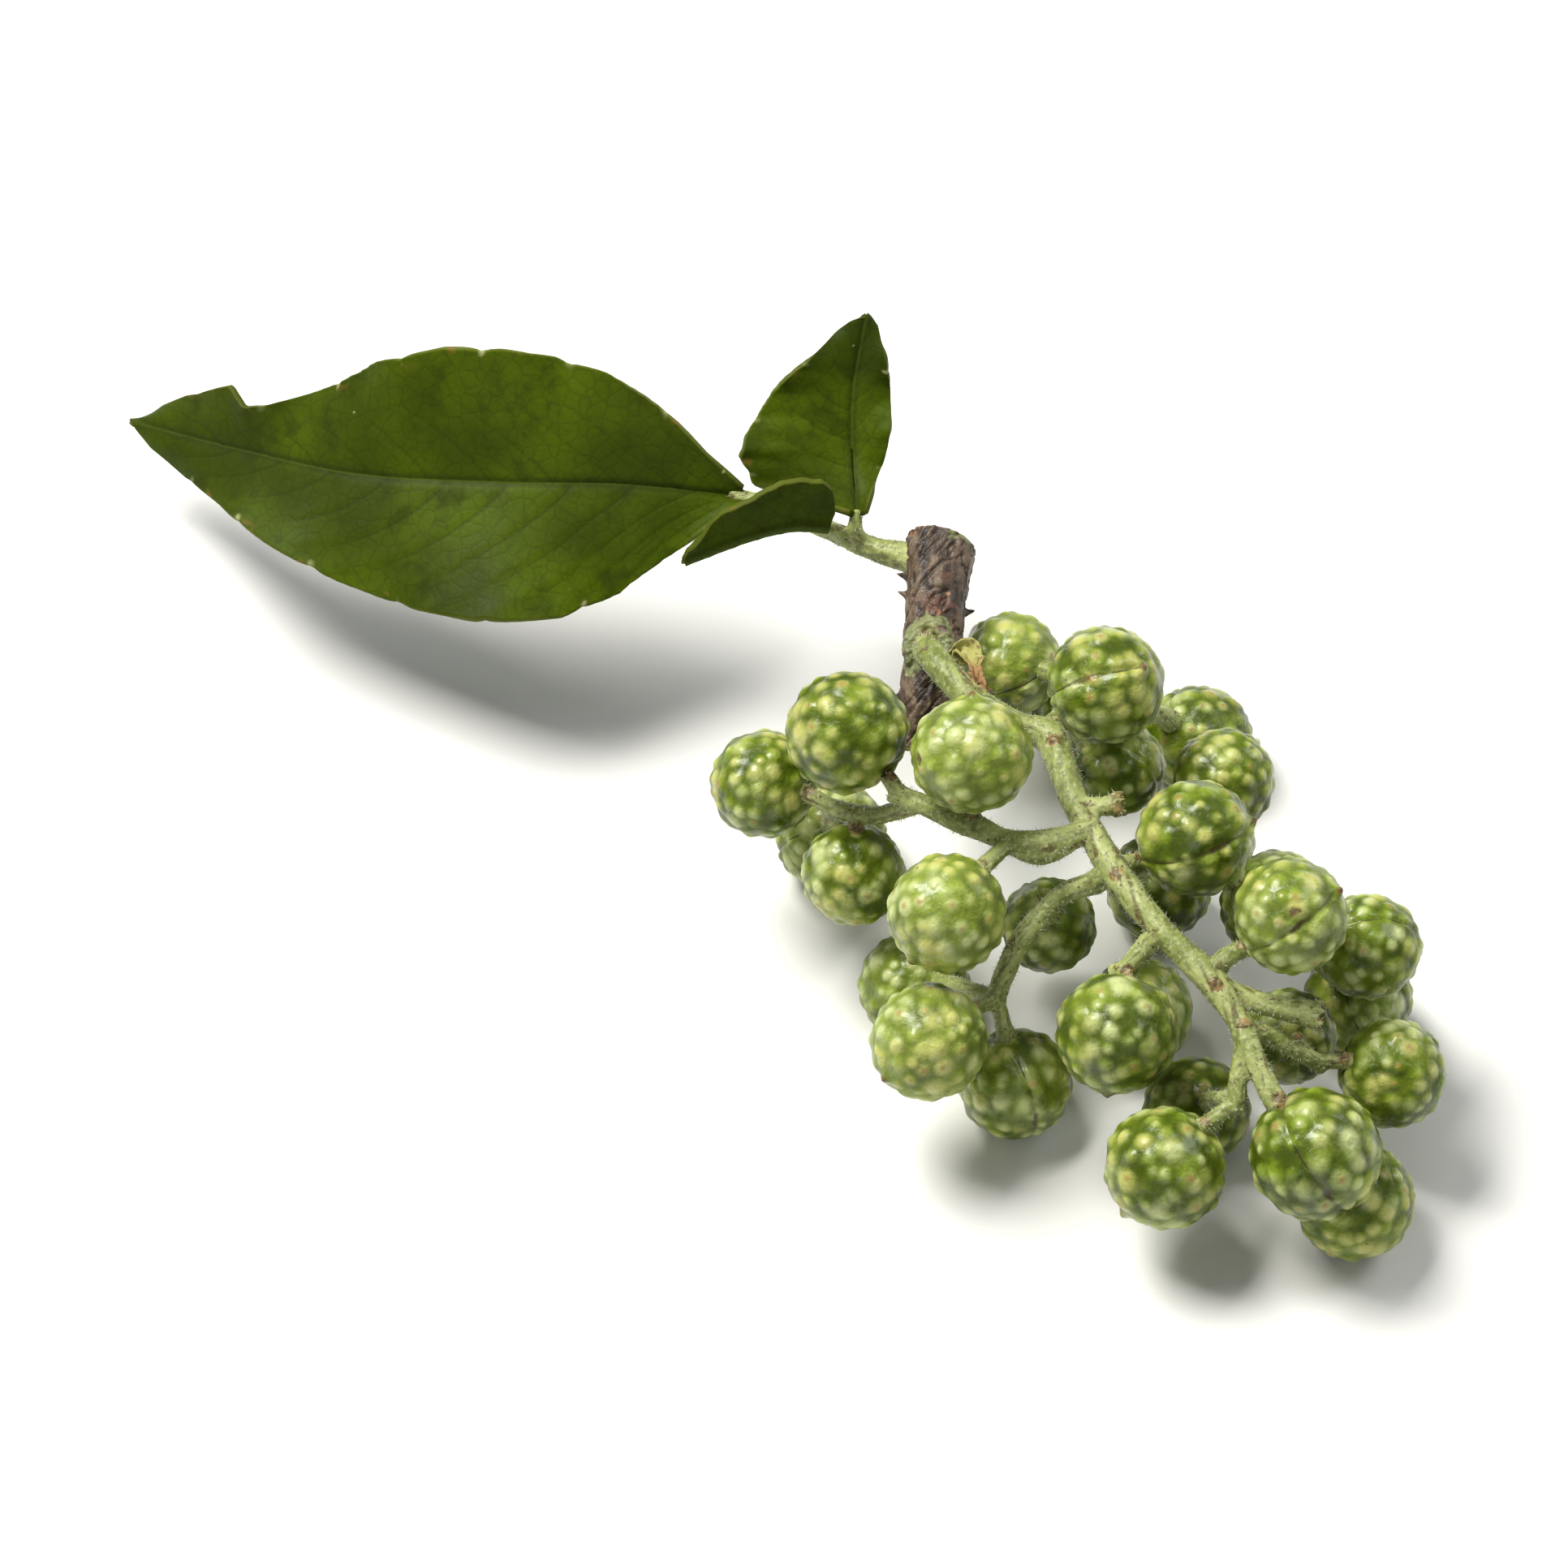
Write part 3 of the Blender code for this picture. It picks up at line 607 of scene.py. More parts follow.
# Each side spray is a green branch of that stem. Its short stalks swell into a small disc, and
# each carries a round berry: a fruit whose rind is full of raised, pale oil glands, with a seam
# from the stalk to a small brown beak. Both grew as one with the stem.
SPRAYS = {
    "spray_1": (
        [
            [(13.03, 3.3, 10.27, 1.1), (14.0, 4.6, 9.2, 1.0), (15.0, 4.2, 7.6, 1.0)],
        ],
        [
            (15.0, 4.8, 13.6, 5.5),
            (10.9, 5.8, 6.5, 4.9),
            (15.6, 1.1, 8.0, 4.6),
            (19.4, 2.4, 2.35, 5.2),
            (14.0, 3.6, 2.35, 5.2),
        ],
    ),
    "spray_2": (
        [
            [
                (13.4, -1.95, 11.05, 1.25),
                (12.0, -2.4, 11.4, 1.7),
                (10.3, -2.0, 11.4, 1.05),
                (8.6, -1.2, 11.5, 1.3),
                (6.6, -0.4, 11.8, 1.0),
                (5.4, 0.1, 12.0, 1.0),
            ],
            [(6.8, -0.4, 11.7, 1.0), (4.8, -1.0, 9.9, 0.9), (2.6, -0.6, 8.6, 0.9)],
        ],
        [
            (3.5, 2.7, 13.2, 5.8),
            (9.0, 1.7, 14.5, 5.6),
            (7.9, -5.3, 10.9, 5.5),
            (3.8, -3.6, 6.9, 4.8),
            (-0.2, 0.4, 8.3, 5.0),
            (2.8, -1.9, 2.35, 5.2),
        ],
    ),
    "spray_3": (
        [
            [
                (14.4, -4.0, 9.9, 1.15),
                (12.9, -4.6, 9.2, 1.0),
                (11.3, -6.4, 8.0, 1.1),
                (10.4, -8.2, 6.8, 1.0),
                (10.0, -9.6, 5.6, 1.0),
            ],
        ],
        [
            (7.1, -11.0, 6.6, 5.5),
            (11.0, -12.9, 2.4, 5.3),
            (12.5, -5.9, 4.5, 4.5),
            (6.5, -8.6, 2.35, 5.2),
        ],
    ),
    "spray_4": (
        [
            [(16.75, -6.7, 9.6, 1.1), (15.9, -7.7, 8.9, 1.0), (15.3, -8.0, 8.3, 1.0)],
        ],
        [
            (15.4, -10.6, 7.8, 5.7),
            (16.5, -9.8, 2.35, 5.2),
        ],
    ),
    "spray_5": (
        [
            [(16.14, -3.2, 9.96, 1.1), (17.2, -2.9, 8.7, 1.0), (18.2, -2.4, 7.3, 1.0)],
        ],
        [
            (18.9, -2.0, 11.2, 5.5),
            (20.3, 0.6, 9.0, 4.8),
            (22.6, -5.0, 4.8, 5.2),
            (17.5, -4.2, 2.25, 5.0),
        ],
    ),
    "spray_6": (
        [
            [(20.15, -7.3, 10.18, 1.0), (21.3, -6.8, 10.0, 0.9), (23.6, -7.0, 8.0, 0.9)],
        ],
        [
            (23.0, -5.4, 12.4, 5.4),
            (26.6, -6.8, 8.0, 4.9),
            (26.3, -9.2, 2.35, 5.2),
        ],
    ),
    "spray_7": (
        [
            [(21.95, -10.65, 8.17, 1.0), (23.4, -11.4, 7.2, 0.9), (24.6, -12.1, 6.2, 0.9)],
        ],
        [
            (27.6, -12.4, 5.5, 5.1),
            (23.0, -10.8, 5.0, 4.6),
        ],
    ),
    "spray_8": (
        [
            [
                (20.85, -10.25, 8.95, 1.25),
                (21.35, -11.6, 8.55, 1.15),
                (22.0, -13.0, 7.95, 1.15),
                (22.7, -14.2, 7.2, 1.2),
            ],
            [(21.05, -10.8, 8.75, 1.0), (20.7, -12.4, 7.9, 0.95), (20.6, -14.1, 6.9, 0.95)],
        ],
        [
            (24.1, -15.9, 6.0, 6.2),
            (25.9, -18.0, 2.6, 5.6),
            (17.5, -16.5, 5.0, 5.7),
            (19.0, -14.1, 2.3, 5.0),
        ],
    ),
}
PEDICEL_DIAMETER = 0.8
PEDICEL_END = 1.2
PEDICEL_LEAD = 0.5
PEDICEL_BEND = 0.45
PEDICEL_ARCH = 0.12
BERRY_ROOT = 0.8
BERRY_VALLEY = 0.935
GLANDS = (90, 112)
GLAND_SHAKE = 0.13
GLAND_REACH = 0.185
GLAND_SPOT = 0.2
# How the glands vary: in size, in height, in strength of colour and in the width of their spot.
GLAND_SIZES = (0.75, 1.2)
GLAND_RISES = (0.6, 1.0)
GLAND_STRENGTHS = (0.3, 1.0)
GLAND_BREADTHS = (0.65, 1.5)
BERRY_TONES = (0.1, 0.9)
RUSTY_GLANDS = 0.14
RUST_REACH = 0.06
LUMP_HEIGHT = 0.012
# This share of the berries has a brown patch. The others' patch is too small to be seen.
PATCHED = 0.4
PATCH_SIZES = (0.06, 0.13)
NO_PATCH = 0.01
SEAM_WIDTH = 0.05
SEAM_DEPTH = 0.035
OPEN_WIDTH = 2.5
# How far from the beak an opened seam is widest, and how far along it stays open, in radians.
OPEN_PLACE = 1.1
OPEN_REACH = 0.35
# The berries whose seam has opened, by spray and number.
OPEN_BERRIES = [("spray_1", 0), ("spray_5", 0), ("spray_6", 0), ("spray_8", 0), ("spray_3", 1)]
BEAK_HEIGHT = 0.11
BEAK_REACH = 0.11
SEAT_DEPTH = 0.05
SEAT_REACH = 0.22
RIND_DEEP = (0.050, 0.078, 0.002, 1.0)
RIND_GREEN = (0.125, 0.192, 0.005, 1.0)
RIND_FRESH = (0.245, 0.335, 0.022, 1.0)
GLAND_PALE = (0.53, 0.58, 0.26, 1.0)
GLAND_YELLOW = (0.51, 0.50, 0.15, 1.0)
GLAND_RUST = (0.30, 0.17, 0.04, 1.0)
SEAM_BROWN = (0.050, 0.030, 0.010, 1.0)
BEAK_BROWN = (0.16, 0.085, 0.030, 1.0)


def stalk_line(run, centre, radius):
    """The stalk from the nearest place of a branch's run into a berry, and its way into it."""
    nearest = min(range(len(run)), key=lambda index: (run[index] - centre).length)
    start = run[nearest]
    if nearest > 0:
        start = start + (run[nearest - 1] - start).normalized() * PEDICEL_LEAD
    reach = centre - start
    middle = start + reach * PEDICEL_BEND + Vector((0.0, 0.0, PEDICEL_ARCH)) * reach.length
    towards = (centre - middle).normalized()
    end = centre - towards * radius * BERRY_ROOT
    half = PEDICEL_DIAMETER / 2
    steps = [step / 8 for step in range(9)]
    places = [start * (1 - t) ** 2 + middle * 2 * t * (1 - t) + end * t**2 for t in steps]
    return (places, [half + (PEDICEL_END / 2 - half) * t**3 for t in steps]), towards


def scatter_glands(draw):
    """Gland centres spread evenly over a ball, each shaken a little."""
    count = draw.randint(*GLANDS)
    centres = []
    for index in range(count):
        z = 1.0 - (2 * index + 1) / count
        angle = index * math.pi * (3.0 - math.sqrt(5.0))
        ring = math.sqrt(1.0 - z * z)
        spot = Vector((ring * math.cos(angle), ring * math.sin(angle), z))
        shake = Vector([draw.uniform(-GLAND_SHAKE, GLAND_SHAKE) for part in range(3)])
        centres.append((spot + shake).normalized())
    return np.array(centres)


bpy.ops.mesh.primitive_ico_sphere_add(subdivisions=2, radius=1.0)
ball = bpy.context.object
bpy.ops.object.mode_set(mode="EDIT")
bpy.ops.mesh.select_all(action="SELECT")
bpy.ops.mesh.subdivide(number_cuts=13)
bpy.ops.object.mode_set(mode="OBJECT")
ball_points = read_points(ball)[0]
ball_points /= np.linalg.norm(ball_points, axis=1)[:, None]


def grow_berry(centre, radius, towards, opened, draw):
    """One berry as its own mesh, copied from the ball, with its glands, seam and beak."""
    made = ball.copy()
    made.data = ball.data.copy()
    bpy.context.collection.objects.link(made)
    turn = Matrix.Rotation(draw.uniform(0.0, math.tau), 3, "Z")
    turn = turn @ Matrix.Rotation(draw.uniform(0.0, 1.0), 3, "X")
    centres = scatter_glands(draw) @ np.array(turn)
    tone = draw.uniform(*BERRY_TONES)
    sizes = np.array([draw.uniform(*GLAND_SIZES) for gland in centres])
    rises = np.array([draw.uniform(*GLAND_RISES) for gland in centres])
    strengths = np.array([draw.uniform(*GLAND_STRENGTHS) for gland in centres]) * (0.75 + 0.25 * tone)
    breadths = np.array([draw.uniform(*GLAND_BREADTHS) for gland in centres])
    away = np.arccos(np.clip(ball_points @ centres.T, -1.0, 1.0)) / sizes
    dome = (np.exp(-1.3 * (away / GLAND_REACH) ** 2) * rises).max(axis=1)
    spot = (np.exp(-2.0 * (away / (GLAND_SPOT * breadths)) ** 2) * strengths).max(axis=1)
    rusty = np.array([draw.random() < RUSTY_GLANDS for gland in centres])
    rust = (np.exp(-((away / RUST_REACH) ** 2)) * rusty).max(axis=1)
    lumps = cloud(ball_points, 0.9, draw.uniform(0, 50), 2)
    patch_way = np.array(Vector([draw.gauss(0, 1) for part in range(3)]).normalized())
    patch_size = draw.uniform(*PATCH_SIZES) if draw.random() < PATCHED else NO_PATCH
    crumbs = cloud(ball_points, 0.16, draw.uniform(0, 50), 3)
    patch = np.arccos(np.clip(ball_points @ patch_way, -1.0, 1.0)) / patch_size + 0.7 * crumbs
    patch = 1.0 - soft_step(patch, 0.6, 1.1)
    front = ball_points[:, 1]
    polar = np.arccos(np.clip(ball_points[:, 2], -1.0, 1.0))
    slit = opened * np.exp(-(((polar - OPEN_PLACE) / OPEN_REACH) ** 2)) * (1.0 + 0.6 * crumbs)
    seam_way = (ball_points[:, 0] + 0.04 * lumps) / (1.0 + OPEN_WIDTH * slit)
    seam = np.exp(-((seam_way / SEAM_WIDTH) ** 2)) * (front > 0) * (1.0 + slit)
    beak = np.exp(-((polar / BEAK_REACH) ** 2))
    seat = np.exp(-(((math.pi - polar) / SEAT_REACH) ** 2))
    height = BERRY_VALLEY + (1.0 - BERRY_VALLEY) * dome * (1.0 - 0.3 * seam) - SEAM_DEPTH * seam
    height += LUMP_HEIGHT * lumps + BEAK_HEIGHT * beak - SEAT_DEPTH * seat + patch * (0.02 * crumbs - 0.02)
    squash = np.array((draw.uniform(0.97, 1.0), draw.uniform(0.97, 1.0), draw.uniform(0.96, 1.0)))
    axis = towards.to_track_quat("Z", "Y").to_matrix()
    spin = draw.uniform(0.0, math.tau)
    if opened:
        facing = axis.transposed() @ Vector((0.0, -math.cos(VIEW), math.sin(VIEW)))
        spin = math.atan2(-facing.x, facing.y) + draw.uniform(-0.4, 0.4)
    lie = np.array(axis @ Matrix.Rotation(spin, 3, "Z"))
    points = (ball_points * height[:, None] * squash * radius) @ lie.T + np.array(centre)
    points[:, 2] = np.maximum(points[:, 2], 0.0)
    write_points(made, points)
    mark(made, "gland", spot)
    mark(made, "dome", dome)
    mark(made, "rust", rust)
    mark(made, "patch", patch)
    mark(made, "seam_way", seam_way)
    mark(made, "seam_side", front)
    mark(made, "slit", np.clip(slit, 0.0, 1.0))
    mark(made, "beak", np.maximum(beak, seat * 0.8))
    mark(made, "tone", np.full(len(points), tone))
    return made


rind = Finish("berry_rind", Subsurface_Weight=0.08, Subsurface_Scale=0.001, Coat_Roughness=0.2)
rind.shader.inputs["Specular IOR Level"].default_value = 0.22
rind.shader.inputs["Subsurface Radius"].default_value = (0.6, 1.0, 0.2)
tone = rind.attribute("tone")
dome = rind.attribute("dome")
cloudy = rind.noise(1.7, 3.0)
grainy = rind.noise(0.22, 3.0)
pores = rind.cells(0.28)
# The rind is darker in the valleys between the glands: partly its own darker green, partly painted shade.
colour = rind.mix(rind.step(dome + cloudy * 0.7 - 0.35, 0.05, 0.75), RIND_DEEP, RIND_GREEN)
colour = rind.mix(rind.step(cloudy + tone * 0.25, 0.45, 0.85) * 0.75, colour, RIND_FRESH)
# Painted shade: the valleys between the glands are darkened further.
colour = rind.mix((1.0 - rind.step(dome, 0.1, 0.55)) * 0.25, colour, RIND_DEEP)
threads = 1.0 - rind.step(rind.cells(0.42, "DISTANCE_TO_EDGE"), 0.0, 0.1)
colour = rind.mix(threads * 0.2, colour, RIND_DEEP)
pale = rind.mix(rind.step(rind.noise(3.0, 1.0), 0.4, 0.6), GLAND_PALE, GLAND_YELLOW)
spot = rind.step(rind.attribute("gland") + (grainy - 0.5) * 0.25 + (cloudy - 0.5) * 0.45, 0.05, 0.8)
colour = rind.mix(spot * 0.85, colour, pale)
colour = rind.mix(rind.attribute("rust") * 0.8, colour, GLAND_RUST)
colour = rind.mix(rind.step(tone, 0.6, 0.9) * 0.07, colour, GLAND_PALE)
freckles = (1.0 - rind.step(rind.cells(0.95), 0.05, 0.11)) * rind.step(cloudy, 0.5, 0.62)
colour = rind.mix(freckles * 0.8, colour, BEAK_BROWN)
colour = rind.mix(rind.attribute("patch") * 0.9, colour, rind.mix(grainy, SEAM_BROWN, BEAK_BROWN))
split = 1.0 - rind.step(abs(rind.attribute("seam_way") + (grainy - 0.5) * 0.02), 0.006, 0.024)
split = split * rind.step(rind.attribute("seam_side"), 0.02, 0.1)
shown = rind.step(rind.noise(1.1, 1.0), 0.4, 0.6).most(rind.attribute("slit"))
colour = rind.mix(split * shown * 0.85, colour, SEAM_BROWN)
colour = rind.mix(rind.step(rind.attribute("beak"), 0.45, 0.95), colour, BEAK_BROWN)
film = rind.step(rind.noise(1.6, 3.0) + grainy * 0.15, 0.52, 0.62)
rind.feed(rind.shader.inputs["Coat Weight"], 0.05 + 0.4 * film)
wrinkles = rind.noise(0.5, 3.0)
rind_look = rind.wear(colour, 0.28 + 0.18 * grainy, grainy * 0.25 + pores * 0.2 + wrinkles, 0.11)

for number, (name, (stems, berries)) in enumerate(SPRAYS.items()):
    draw = random.Random(number + 11)
    lines = []
    run = []
    scars = []
    for index, points in enumerate(stems):
        places, radii = laid_out(points, 6)
        run.extend(laid_out(points, 2)[0])
        if index == 0:
            root = min(axis_places, key=lambda place: (place - places[0]).length)
            scars.append((places[0].lerp(root, 0.35), 0.75))
            places.insert(0, root)
            radii.insert(0, radii[0] * 1.1)
        lines.append((places, radii))
    fruits = []
    for index, (across, up, height, diameter) in enumerate(berries):
        centre = seen(across, up, height)
        line, towards = stalk_line(run, centre, diameter / 2)
        lines.append(line)
        scars.append((centre - towards * diameter / 2 * 0.96, 0.62))
        opened = 1.0 if (name, index) in OPEN_BERRIES else 0.0
        fruits.append(grow_berry(centre, diameter / 2, towards, opened, draw))
    green_parts.append(stem_skin(lines, name + "_stems", [name], scars, number + 20))
    pick(*fruits)
    bpy.ops.object.join()
    settle(bpy.context.object, name + "_berries", rind_look, "berry", name)
bpy.data.objects.remove(ball)

# The dried bract is a papery scale that stayed at the panicle's collar. It is crumpled and still
# green at its foot, and its tip has curled over and turned orange brown.
BRACT_HALF = [(0.0, 0.35), (0.2, 0.6), (0.42, 0.58), (0.55, 0.3), (0.8, 0.26), (1.0, 0.06)]
BRACT_THICK = 0.1
BRACT_GREEN = (0.34, 0.33, 0.10, 1.0)
BRACT_ORANGE = (0.29, 0.165, 0.065, 1.0)


def between(table, share):
    """Read a half width from its table at a share of the length."""
    for (low, low_value), (high, high_value) in zip(table, table[1:]):
        if share <= high:
            t = (share - low) / (high - low)
            return low_value + (high_value - low_value) * t
    return table[-1][1]


def thicken(made, thickness):
    thick = made.modifiers.new("thick", "SOLIDIFY")
    thick.thickness = thickness
    thick.offset = 0.0
    thick.use_even_offset = True
    pick(made)
    bpy.ops.object.modifier_apply(modifier=thick.name)


def follow(line, share):
    """The place at a share of a line's length, and the way that the line runs there."""
    lengths = [0.0]
    for start, end in zip(line, line[1:]):
        lengths.append(lengths[-1] + (end - start).length)
    goal = share * lengths[-1]
    step = min(max(index for index in range(len(lengths)) if lengths[index] <= goal + 1e-9), len(line) - 2)
    part = (goal - lengths[step]) / (lengths[step + 1] - lengths[step])
    return line[step].lerp(line[step + 1], part), (line[step + 1] - line[step]).normalized()


bpy.ops.mesh.primitive_grid_add(x_subdivisions=44, y_subdivisions=20, size=1.0)
scale = bpy.context.object
line = [seen(*point) for point in curve(BRACT, 8)]
dry = []
for vert in scale.data.vertices:
    share = vert.co.x + 0.5
    v = 2.0 * vert.co.y
    place, along = follow(line, share)
    side = Vector((0.3, -0.6, 0.75)).cross(along).normalized()
    up = along.cross(side).normalized()
    width = between(BRACT_HALF, share)
    rough = noise.fractal(Vector((share * 7.0, v * 2.0, 4.0)), 1.0, 2.0, 3)
    vert.co = place + side * v * width * (1.0 + 0.3 * rough) + up * (0.5 * v * v * width + 0.22 * rough)
    dry.append(share)
mark(scale, "dry", dry)
thicken(scale, BRACT_THICK)
papery = Finish("dried_scale", Specular_IOR_Level=0.3)
streaks = papery.noise(0.3, 4.0)
colour = papery.mix(papery.step(papery.attribute("dry") + streaks * 0.3, 0.5, 0.8), BRACT_GREEN, BRACT_ORANGE)
colour = papery.mix(papery.step(streaks, 0.55, 0.68) * 0.8, colour, SCAR_BROWN)
settle(scale, "dried_bract", papery.wear(colour, 0.55 + 0.2 * streaks, streaks, 0.05), "stem")

# The leaf's stalk is a thin green rachis, ribbed and hairy like the stem. It grew from the twig
# just below the cut, ends in the largest leaflet, and has a short side stalk for each other one.
RACHIS = [
    [
        (7.2, 10.4, 10.1, 1.9),
        (5.85, 10.7, 9.85, 1.4),
        (4.4, 11.1, 9.7, 1.1),
        (2.4, 12.0, 9.6, 1.0),
        (0.4, 12.8, 9.7, 0.95),
        (-0.8, 13.2, 9.7, 0.9),
        (-1.8, 13.5, 9.8, 0.7),
    ],
    [(4.6, 11.0, 9.7, 0.9), (4.1, 11.5, 10.2, 0.8), (3.9, 11.9, 10.6, 0.8), (4.0, 12.8, 11.3, 0.6)],
    [(3.7, 11.4, 9.65, 0.9), (3.2, 11.6, 10.2, 0.8), (3.0, 11.8, 10.8, 0.8), (2.5, 12.0, 11.5, 0.6)],
]
lines = [laid_out(points, 6) for points in RACHIS]
scars = [(seen(5.9, 10.7, 9.9), 0.9), (seen(-0.9, 13.2, 9.7), 0.5)]
green_parts.append(stem_skin(lines, "leaf_stalk", ["leaf_rachis"], scars, 40))

# The three leaflets are thin, glossy, deep green blades with a sunk midrib, side veins that
# curve forward, a fine net between them, scalloped waved edges, and pale glands in some notches.
# They grew on their stalks. The end one has a bite out of its edge, and the small one is folded.
END_MIDRIB = [
    (-1.2, 13.4, 9.8),
    (-6.5, 13.9, 10.6),
    (-12.0, 14.0, 10.6),
    (-18.5, 14.4, 9.2),
    (-24.0, 15.6, 6.8),
    (-29.2, 17.0, 4.4),
]
END_UPPER = [
    (0.0, 0.4), (0.06, 1.7), (0.13, 3.6), (0.2, 5.0), (0.27, 5.7), (0.35, 6.0), (0.43, 5.95), (0.55, 5.1),
    (0.65, 3.6), (0.74, 2.3), (0.78, 1.9), (0.81, 2.7), (0.9, 1.8), (1.0, 0.3),
]
END_LOWER = [
    (0.0, 0.4), (0.04, 1.5), (0.09, 2.9), (0.17, 4.9), (0.26, 6.1), (0.36, 6.4), (0.46, 5.9), (0.56, 5.0),
    (0.67, 3.9), (0.78, 2.7), (0.87, 1.8), (1.0, 0.3),
]
SIDE_MIDRIB = [
    (4.0, 12.5, 11.2),
    (3.8, 15.0, 12.0),
    (3.8, 18.0, 13.8),
    (4.4, 21.5, 16.2),
]
SIDE_LEFT = [
    (0.0, 0.4), (0.08, 2.4), (0.18, 4.6), (0.3, 5.2), (0.42, 4.9), (0.6, 3.6), (0.8, 1.8), (1.0, 0.3),
]
SIDE_RIGHT = [(0.0, 0.4), (0.15, 0.9), (0.35, 1.6), (0.5, 1.8), (0.7, 1.6), (0.85, 1.1), (1.0, 0.3)]
FOLDED_MIDRIB = [
    (2.7, 12.0, 11.5),
    (1.1, 12.05, 12.0),
    (-0.9, 11.55, 12.1),
    (-3.8, 10.4, 11.4),
]
FOLDED_FRONT = [
    (0.0, 0.5), (0.08, 1.5), (0.16, 1.85), (0.3, 1.8), (0.5, 1.5),
    (0.65, 1.2), (0.85, 0.6), (1.0, 0.3),
]
FOLDED_BACK = [(0.0, 0.4), (0.2, 0.9), (0.4, 1.0), (0.65, 0.9), (0.85, 0.6), (1.0, 0.3)]
BLADE = 0.3
EDGE_WAVES = 17.0
EDGE_RIPPLES = 61.0
RIPPLE_HEIGHT = 0.05
LEFT_PHASE = 2.0
RIGHT_PHASE = 0.4
NOTCH_DEPTH = 0.025
NOTCH_SHIFT = 0.02
MIDRIB_SINK = 0.14
MIDRIB_REACH = 0.22
VEIN_SINK = 0.03
VEIN_REACH = 0.085
VEIN_CURVE = 0.34
VEIN_SHIFT = 0.3
VEIN_BULGE = 0.02
LEAF_DEEP = (0.014, 0.022, 0.001, 1.0)
LEAF_GREEN = (0.031, 0.047, 0.001, 1.0)
LEAF_BRIGHT = (0.058, 0.090, 0.001, 1.0)
LEAF_VEIN = (0.10, 0.14, 0.02, 1.0)
LEAF_RIM = (0.15, 0.16, 0.03, 1.0)
LEAF_RUST = (0.20, 0.11, 0.025, 1.0)
LEAF_DOT = (0.55, 0.54, 0.26, 1.0)


def leaflet(name, node, midrib, left, right, facing, fold, wave, rows, columns, side_veins, notches):
    """A blade drawn on a grid along its midrib, then thickened."""
    bpy.ops.mesh.primitive_grid_add(x_subdivisions=rows, y_subdivisions=columns, size=1.0)
    made = bpy.context.object
    line = [seen(*point) for point in curve(midrib, 12)]
    up_hint = Vector(facing).normalized()
    tips = []
    rim = []
    veins = []
    ribs = []
    dots = []
    for vert in made.data.vertices:
        share = vert.co.x + 0.5
        v = 2.0 * vert.co.y
        place, along = follow(line, share)
        side = up_hint.cross(along).normalized()
        up = along.cross(side).normalized()
        width = between(left if v > 0 else right, share)
        scallop = abs(math.sin(math.pi * notches * (share + (NOTCH_SHIFT if v > 0 else 0.0))))
        width *= 1.0 - NOTCH_DEPTH * (1.0 - scallop) ** 4
        width *= min((1.0 - share) / 0.05, 1.0) ** 0.5
        phase = LEFT_PHASE if v > 0 else RIGHT_PHASE
        lift = fold * abs(v) * width + wave * v * v * math.sin(share * EDGE_WAVES + phase)
        ripple = math.sin(share * EDGE_RIPPLES + phase * 3.0)
        lift += RIPPLE_HEIGHT * v * v * ripple * min(width / 3.0, 1.0)
        reach = (share - VEIN_CURVE * abs(v) ** 1.3 * (1.0 - 0.5 * share)) * side_veins
        reach += VEIN_SHIFT if v > 0 else 0.0
        vein = math.exp(-(((reach - round(reach)) / VEIN_REACH) ** 2)) * (1.0 - abs(v) ** 4) * (share > 0.03)
        middle = math.exp(-((v * width / MIDRIB_REACH) ** 2))
        lift -= VEIN_SINK * vein * min(width / 2.5, 1.0) + MIDRIB_SINK * middle * (1.0 - share * 0.75)
        lift += VEIN_BULGE * (1.0 - vein) * math.sin(reach * math.tau) * min(width / 6.0, 1.0) * abs(v)
        vert.co = place + side * v * width + up * lift
        tips.append(share)
        rim.append(abs(v))
        veins.append(vein)
        ribs.append(middle)
        near_notch = 1.0 - soft_step(scallop, 0.0, 0.1)
        dots.append(near_notch * soft_step(abs(v) * width, width - 0.3, width - 0.1) * (width > 1.0))
    made.data.update()
    mark(made, "tip", tips)
    mark(made, "rim", rim)
    mark(made, "vein", veins)
    mark(made, "midrib", ribs)
    mark(made, "notch_gland", dots)
    thicken(made, BLADE)
    settle(made, name, leaf_look, "leaf", node)


leaf = Finish("leaf_blade", Specular_IOR_Level=0.07, Subsurface_Weight=0.06, Subsurface_Scale=0.001)
leaf.shader.inputs["Subsurface Radius"].default_value = (0.5, 1.0, 0.15)
broad = leaf.noise(7.0, 2.0)
patch = leaf.noise(1.8, 3.0)
net = leaf.cells(0.75, "DISTANCE_TO_EDGE")
fine_net = leaf.cells(0.3, "DISTANCE_TO_EDGE")
rim = leaf.attribute("rim")
colour = leaf.mix(leaf.step(broad, 0.36, 0.62), LEAF_GREEN, LEAF_BRIGHT)
colour = leaf.mix(leaf.step(patch, 0.5, 0.75) * 0.6, colour, LEAF_DEEP)
colour = leaf.mix((1.0 - leaf.step(net, 0.0, 0.12)) * 0.22, colour, LEAF_DEEP)
colour = leaf.mix((1.0 - leaf.step(fine_net, 0.0, 0.16)) * 0.12, colour, LEAF_DEEP)
colour = leaf.mix(leaf.step(leaf.attribute("vein"), 0.45, 1.0) * 0.4, colour, LEAF_DEEP)
midrib = leaf.attribute("midrib")
colour = leaf.mix(leaf.step(midrib, 0.05, 0.5) * 0.4, colour, LEAF_DEEP)
colour = leaf.mix(leaf.step(midrib, 0.75, 1.0) * 0.35, colour, LEAF_VEIN)
colour = leaf.mix(leaf.step(rim, 0.98, 1.0) * 0.4, colour, LEAF_RIM)
rust = leaf.step(leaf.noise(1.3, 3.0), 0.6, 0.7) * leaf.step(rim, 0.86, 0.99)
colour = leaf.mix(rust * 0.6, colour, LEAF_RUST)
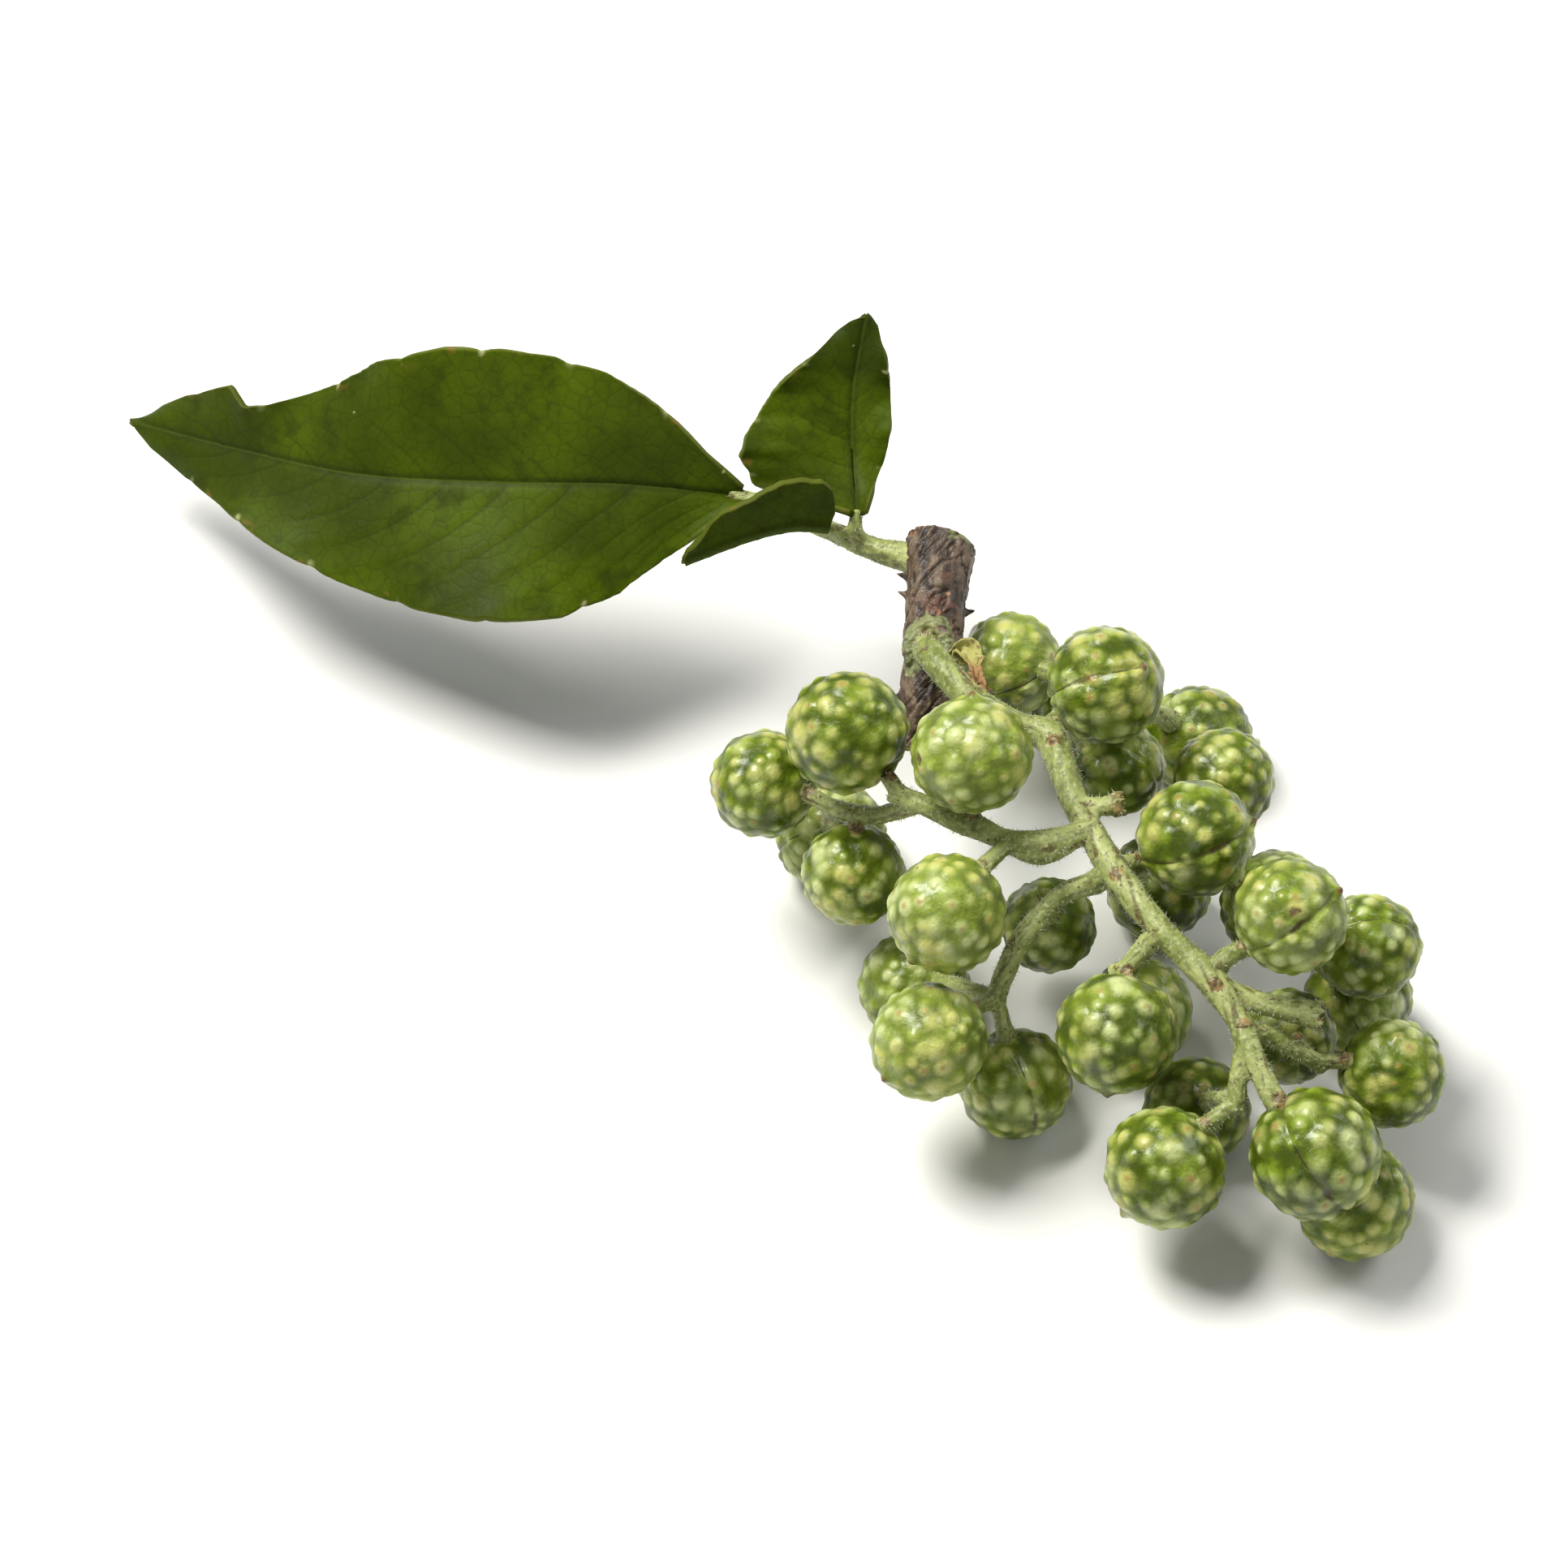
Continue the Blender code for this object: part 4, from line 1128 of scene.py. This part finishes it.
notch = leaf.attribute("notch_gland") * leaf.step(leaf.noise(3.2, 1.0), 0.42, 0.56)
colour = leaf.mix(notch * 0.75, colour, LEAF_DOT)
pits = 1.0 - leaf.step(leaf.cells(2.6), 0.02, 0.045)
colour = leaf.mix(pits * 0.75, colour, LEAF_DOT)
colour = leaf.mix(leaf.step(leaf.attribute("tip"), 0.45, 0.9) * 0.35, colour, LEAF_DEEP)
relief = leaf.step(net, 0.0, 0.16) * 0.6 + leaf.step(fine_net, 0.0, 0.2) * 0.25 + patch * 0.3
leaf_look = leaf.wear(colour, 0.4 + 0.2 * patch, relief, 0.009)

leaflet("leaflet_end_blade", "leaflet_end", END_MIDRIB, END_LOWER, END_UPPER,
        (0.0, -0.6, 0.8), 0.15, 0.5, 170, 84, 11, 8)
leaflet("leaflet_side_blade", "leaflet_side", SIDE_MIDRIB, SIDE_LEFT, SIDE_RIGHT,
        (0.1, -0.62, 0.79), 0.1, 0.3, 80, 56, 7, 4)
leaflet("leaflet_folded_blade", "leaflet_folded", FOLDED_MIDRIB, FOLDED_FRONT, FOLDED_BACK,
        (0.1, 0.8, 0.6), 1.1, 0.1, 60, 40, 6, 3)

# Short white hairs stand all over the young green stems and the leaf's stalk. They grew from the
# skin and lean every way, and each is one thin spike.
HAIRS_TO_MM2 = 11.0
HAIR_LENGTH = (0.08, 0.26)
HAIR_WIDTH = 0.022
HAIR_LEAN = 0.55
BARE_HEIGHT = 0.3
HAIR_WHITE = (0.72, 0.74, 0.60, 1.0)
HAIR_SHADE = 0.8

bpy.ops.mesh.primitive_cone_add(vertices=3, radius1=1.0, depth=1.0, end_fill_type="NOTHING")
spike = bpy.context.object
bpy.ops.transform.translate(value=(0.0, 0.0, 0.5))
bpy.ops.object.transform_apply()
spike_points = np.array([tuple(vert.co) for vert in spike.data.vertices])
spike_faces = [tuple(face.vertices) for face in spike.data.polygons]
draw = random.Random(5)
hair_points = []
hair_faces = []
for green in green_parts:
    for face in green.data.polygons:
        if draw.random() > face.area / MM**2 * HAIRS_TO_MM2 or face.center.z < BARE_HEIGHT * MM:
            continue
        lean = Vector([draw.uniform(-HAIR_LEAN, HAIR_LEAN) for part in range(3)])
        way = (face.normal + lean).normalized()
        turn = np.array(way.to_track_quat("Z", "Y").to_matrix())
        size = np.array((HAIR_WIDTH, HAIR_WIDTH, draw.uniform(*HAIR_LENGTH))) * MM
        first = len(hair_points) * len(spike_points)
        hair_points.append((spike_points * size) @ turn.T + np.array(face.center))
        hair_faces.extend(tuple(first + corner for corner in corners) for corners in spike_faces)
shape = bpy.data.meshes.new("stem_hairs")
shape.from_pydata(np.concatenate(hair_points).tolist(), [], hair_faces)
hairs = bpy.data.objects.new("stem_hairs", shape)
bpy.context.collection.objects.link(hairs)
bpy.data.objects.remove(spike)
down = Finish("hair_white", Specular_IOR_Level=0.3)
shade = down.noise(0.8, 2.0)
colour = down.mix(shade, darkened(HAIR_WHITE, HAIR_SHADE), HAIR_WHITE)
shape.materials.append(down.wear(colour, 0.5 + 0.1 * shade, shade, 0.005))
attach(hairs, "root")
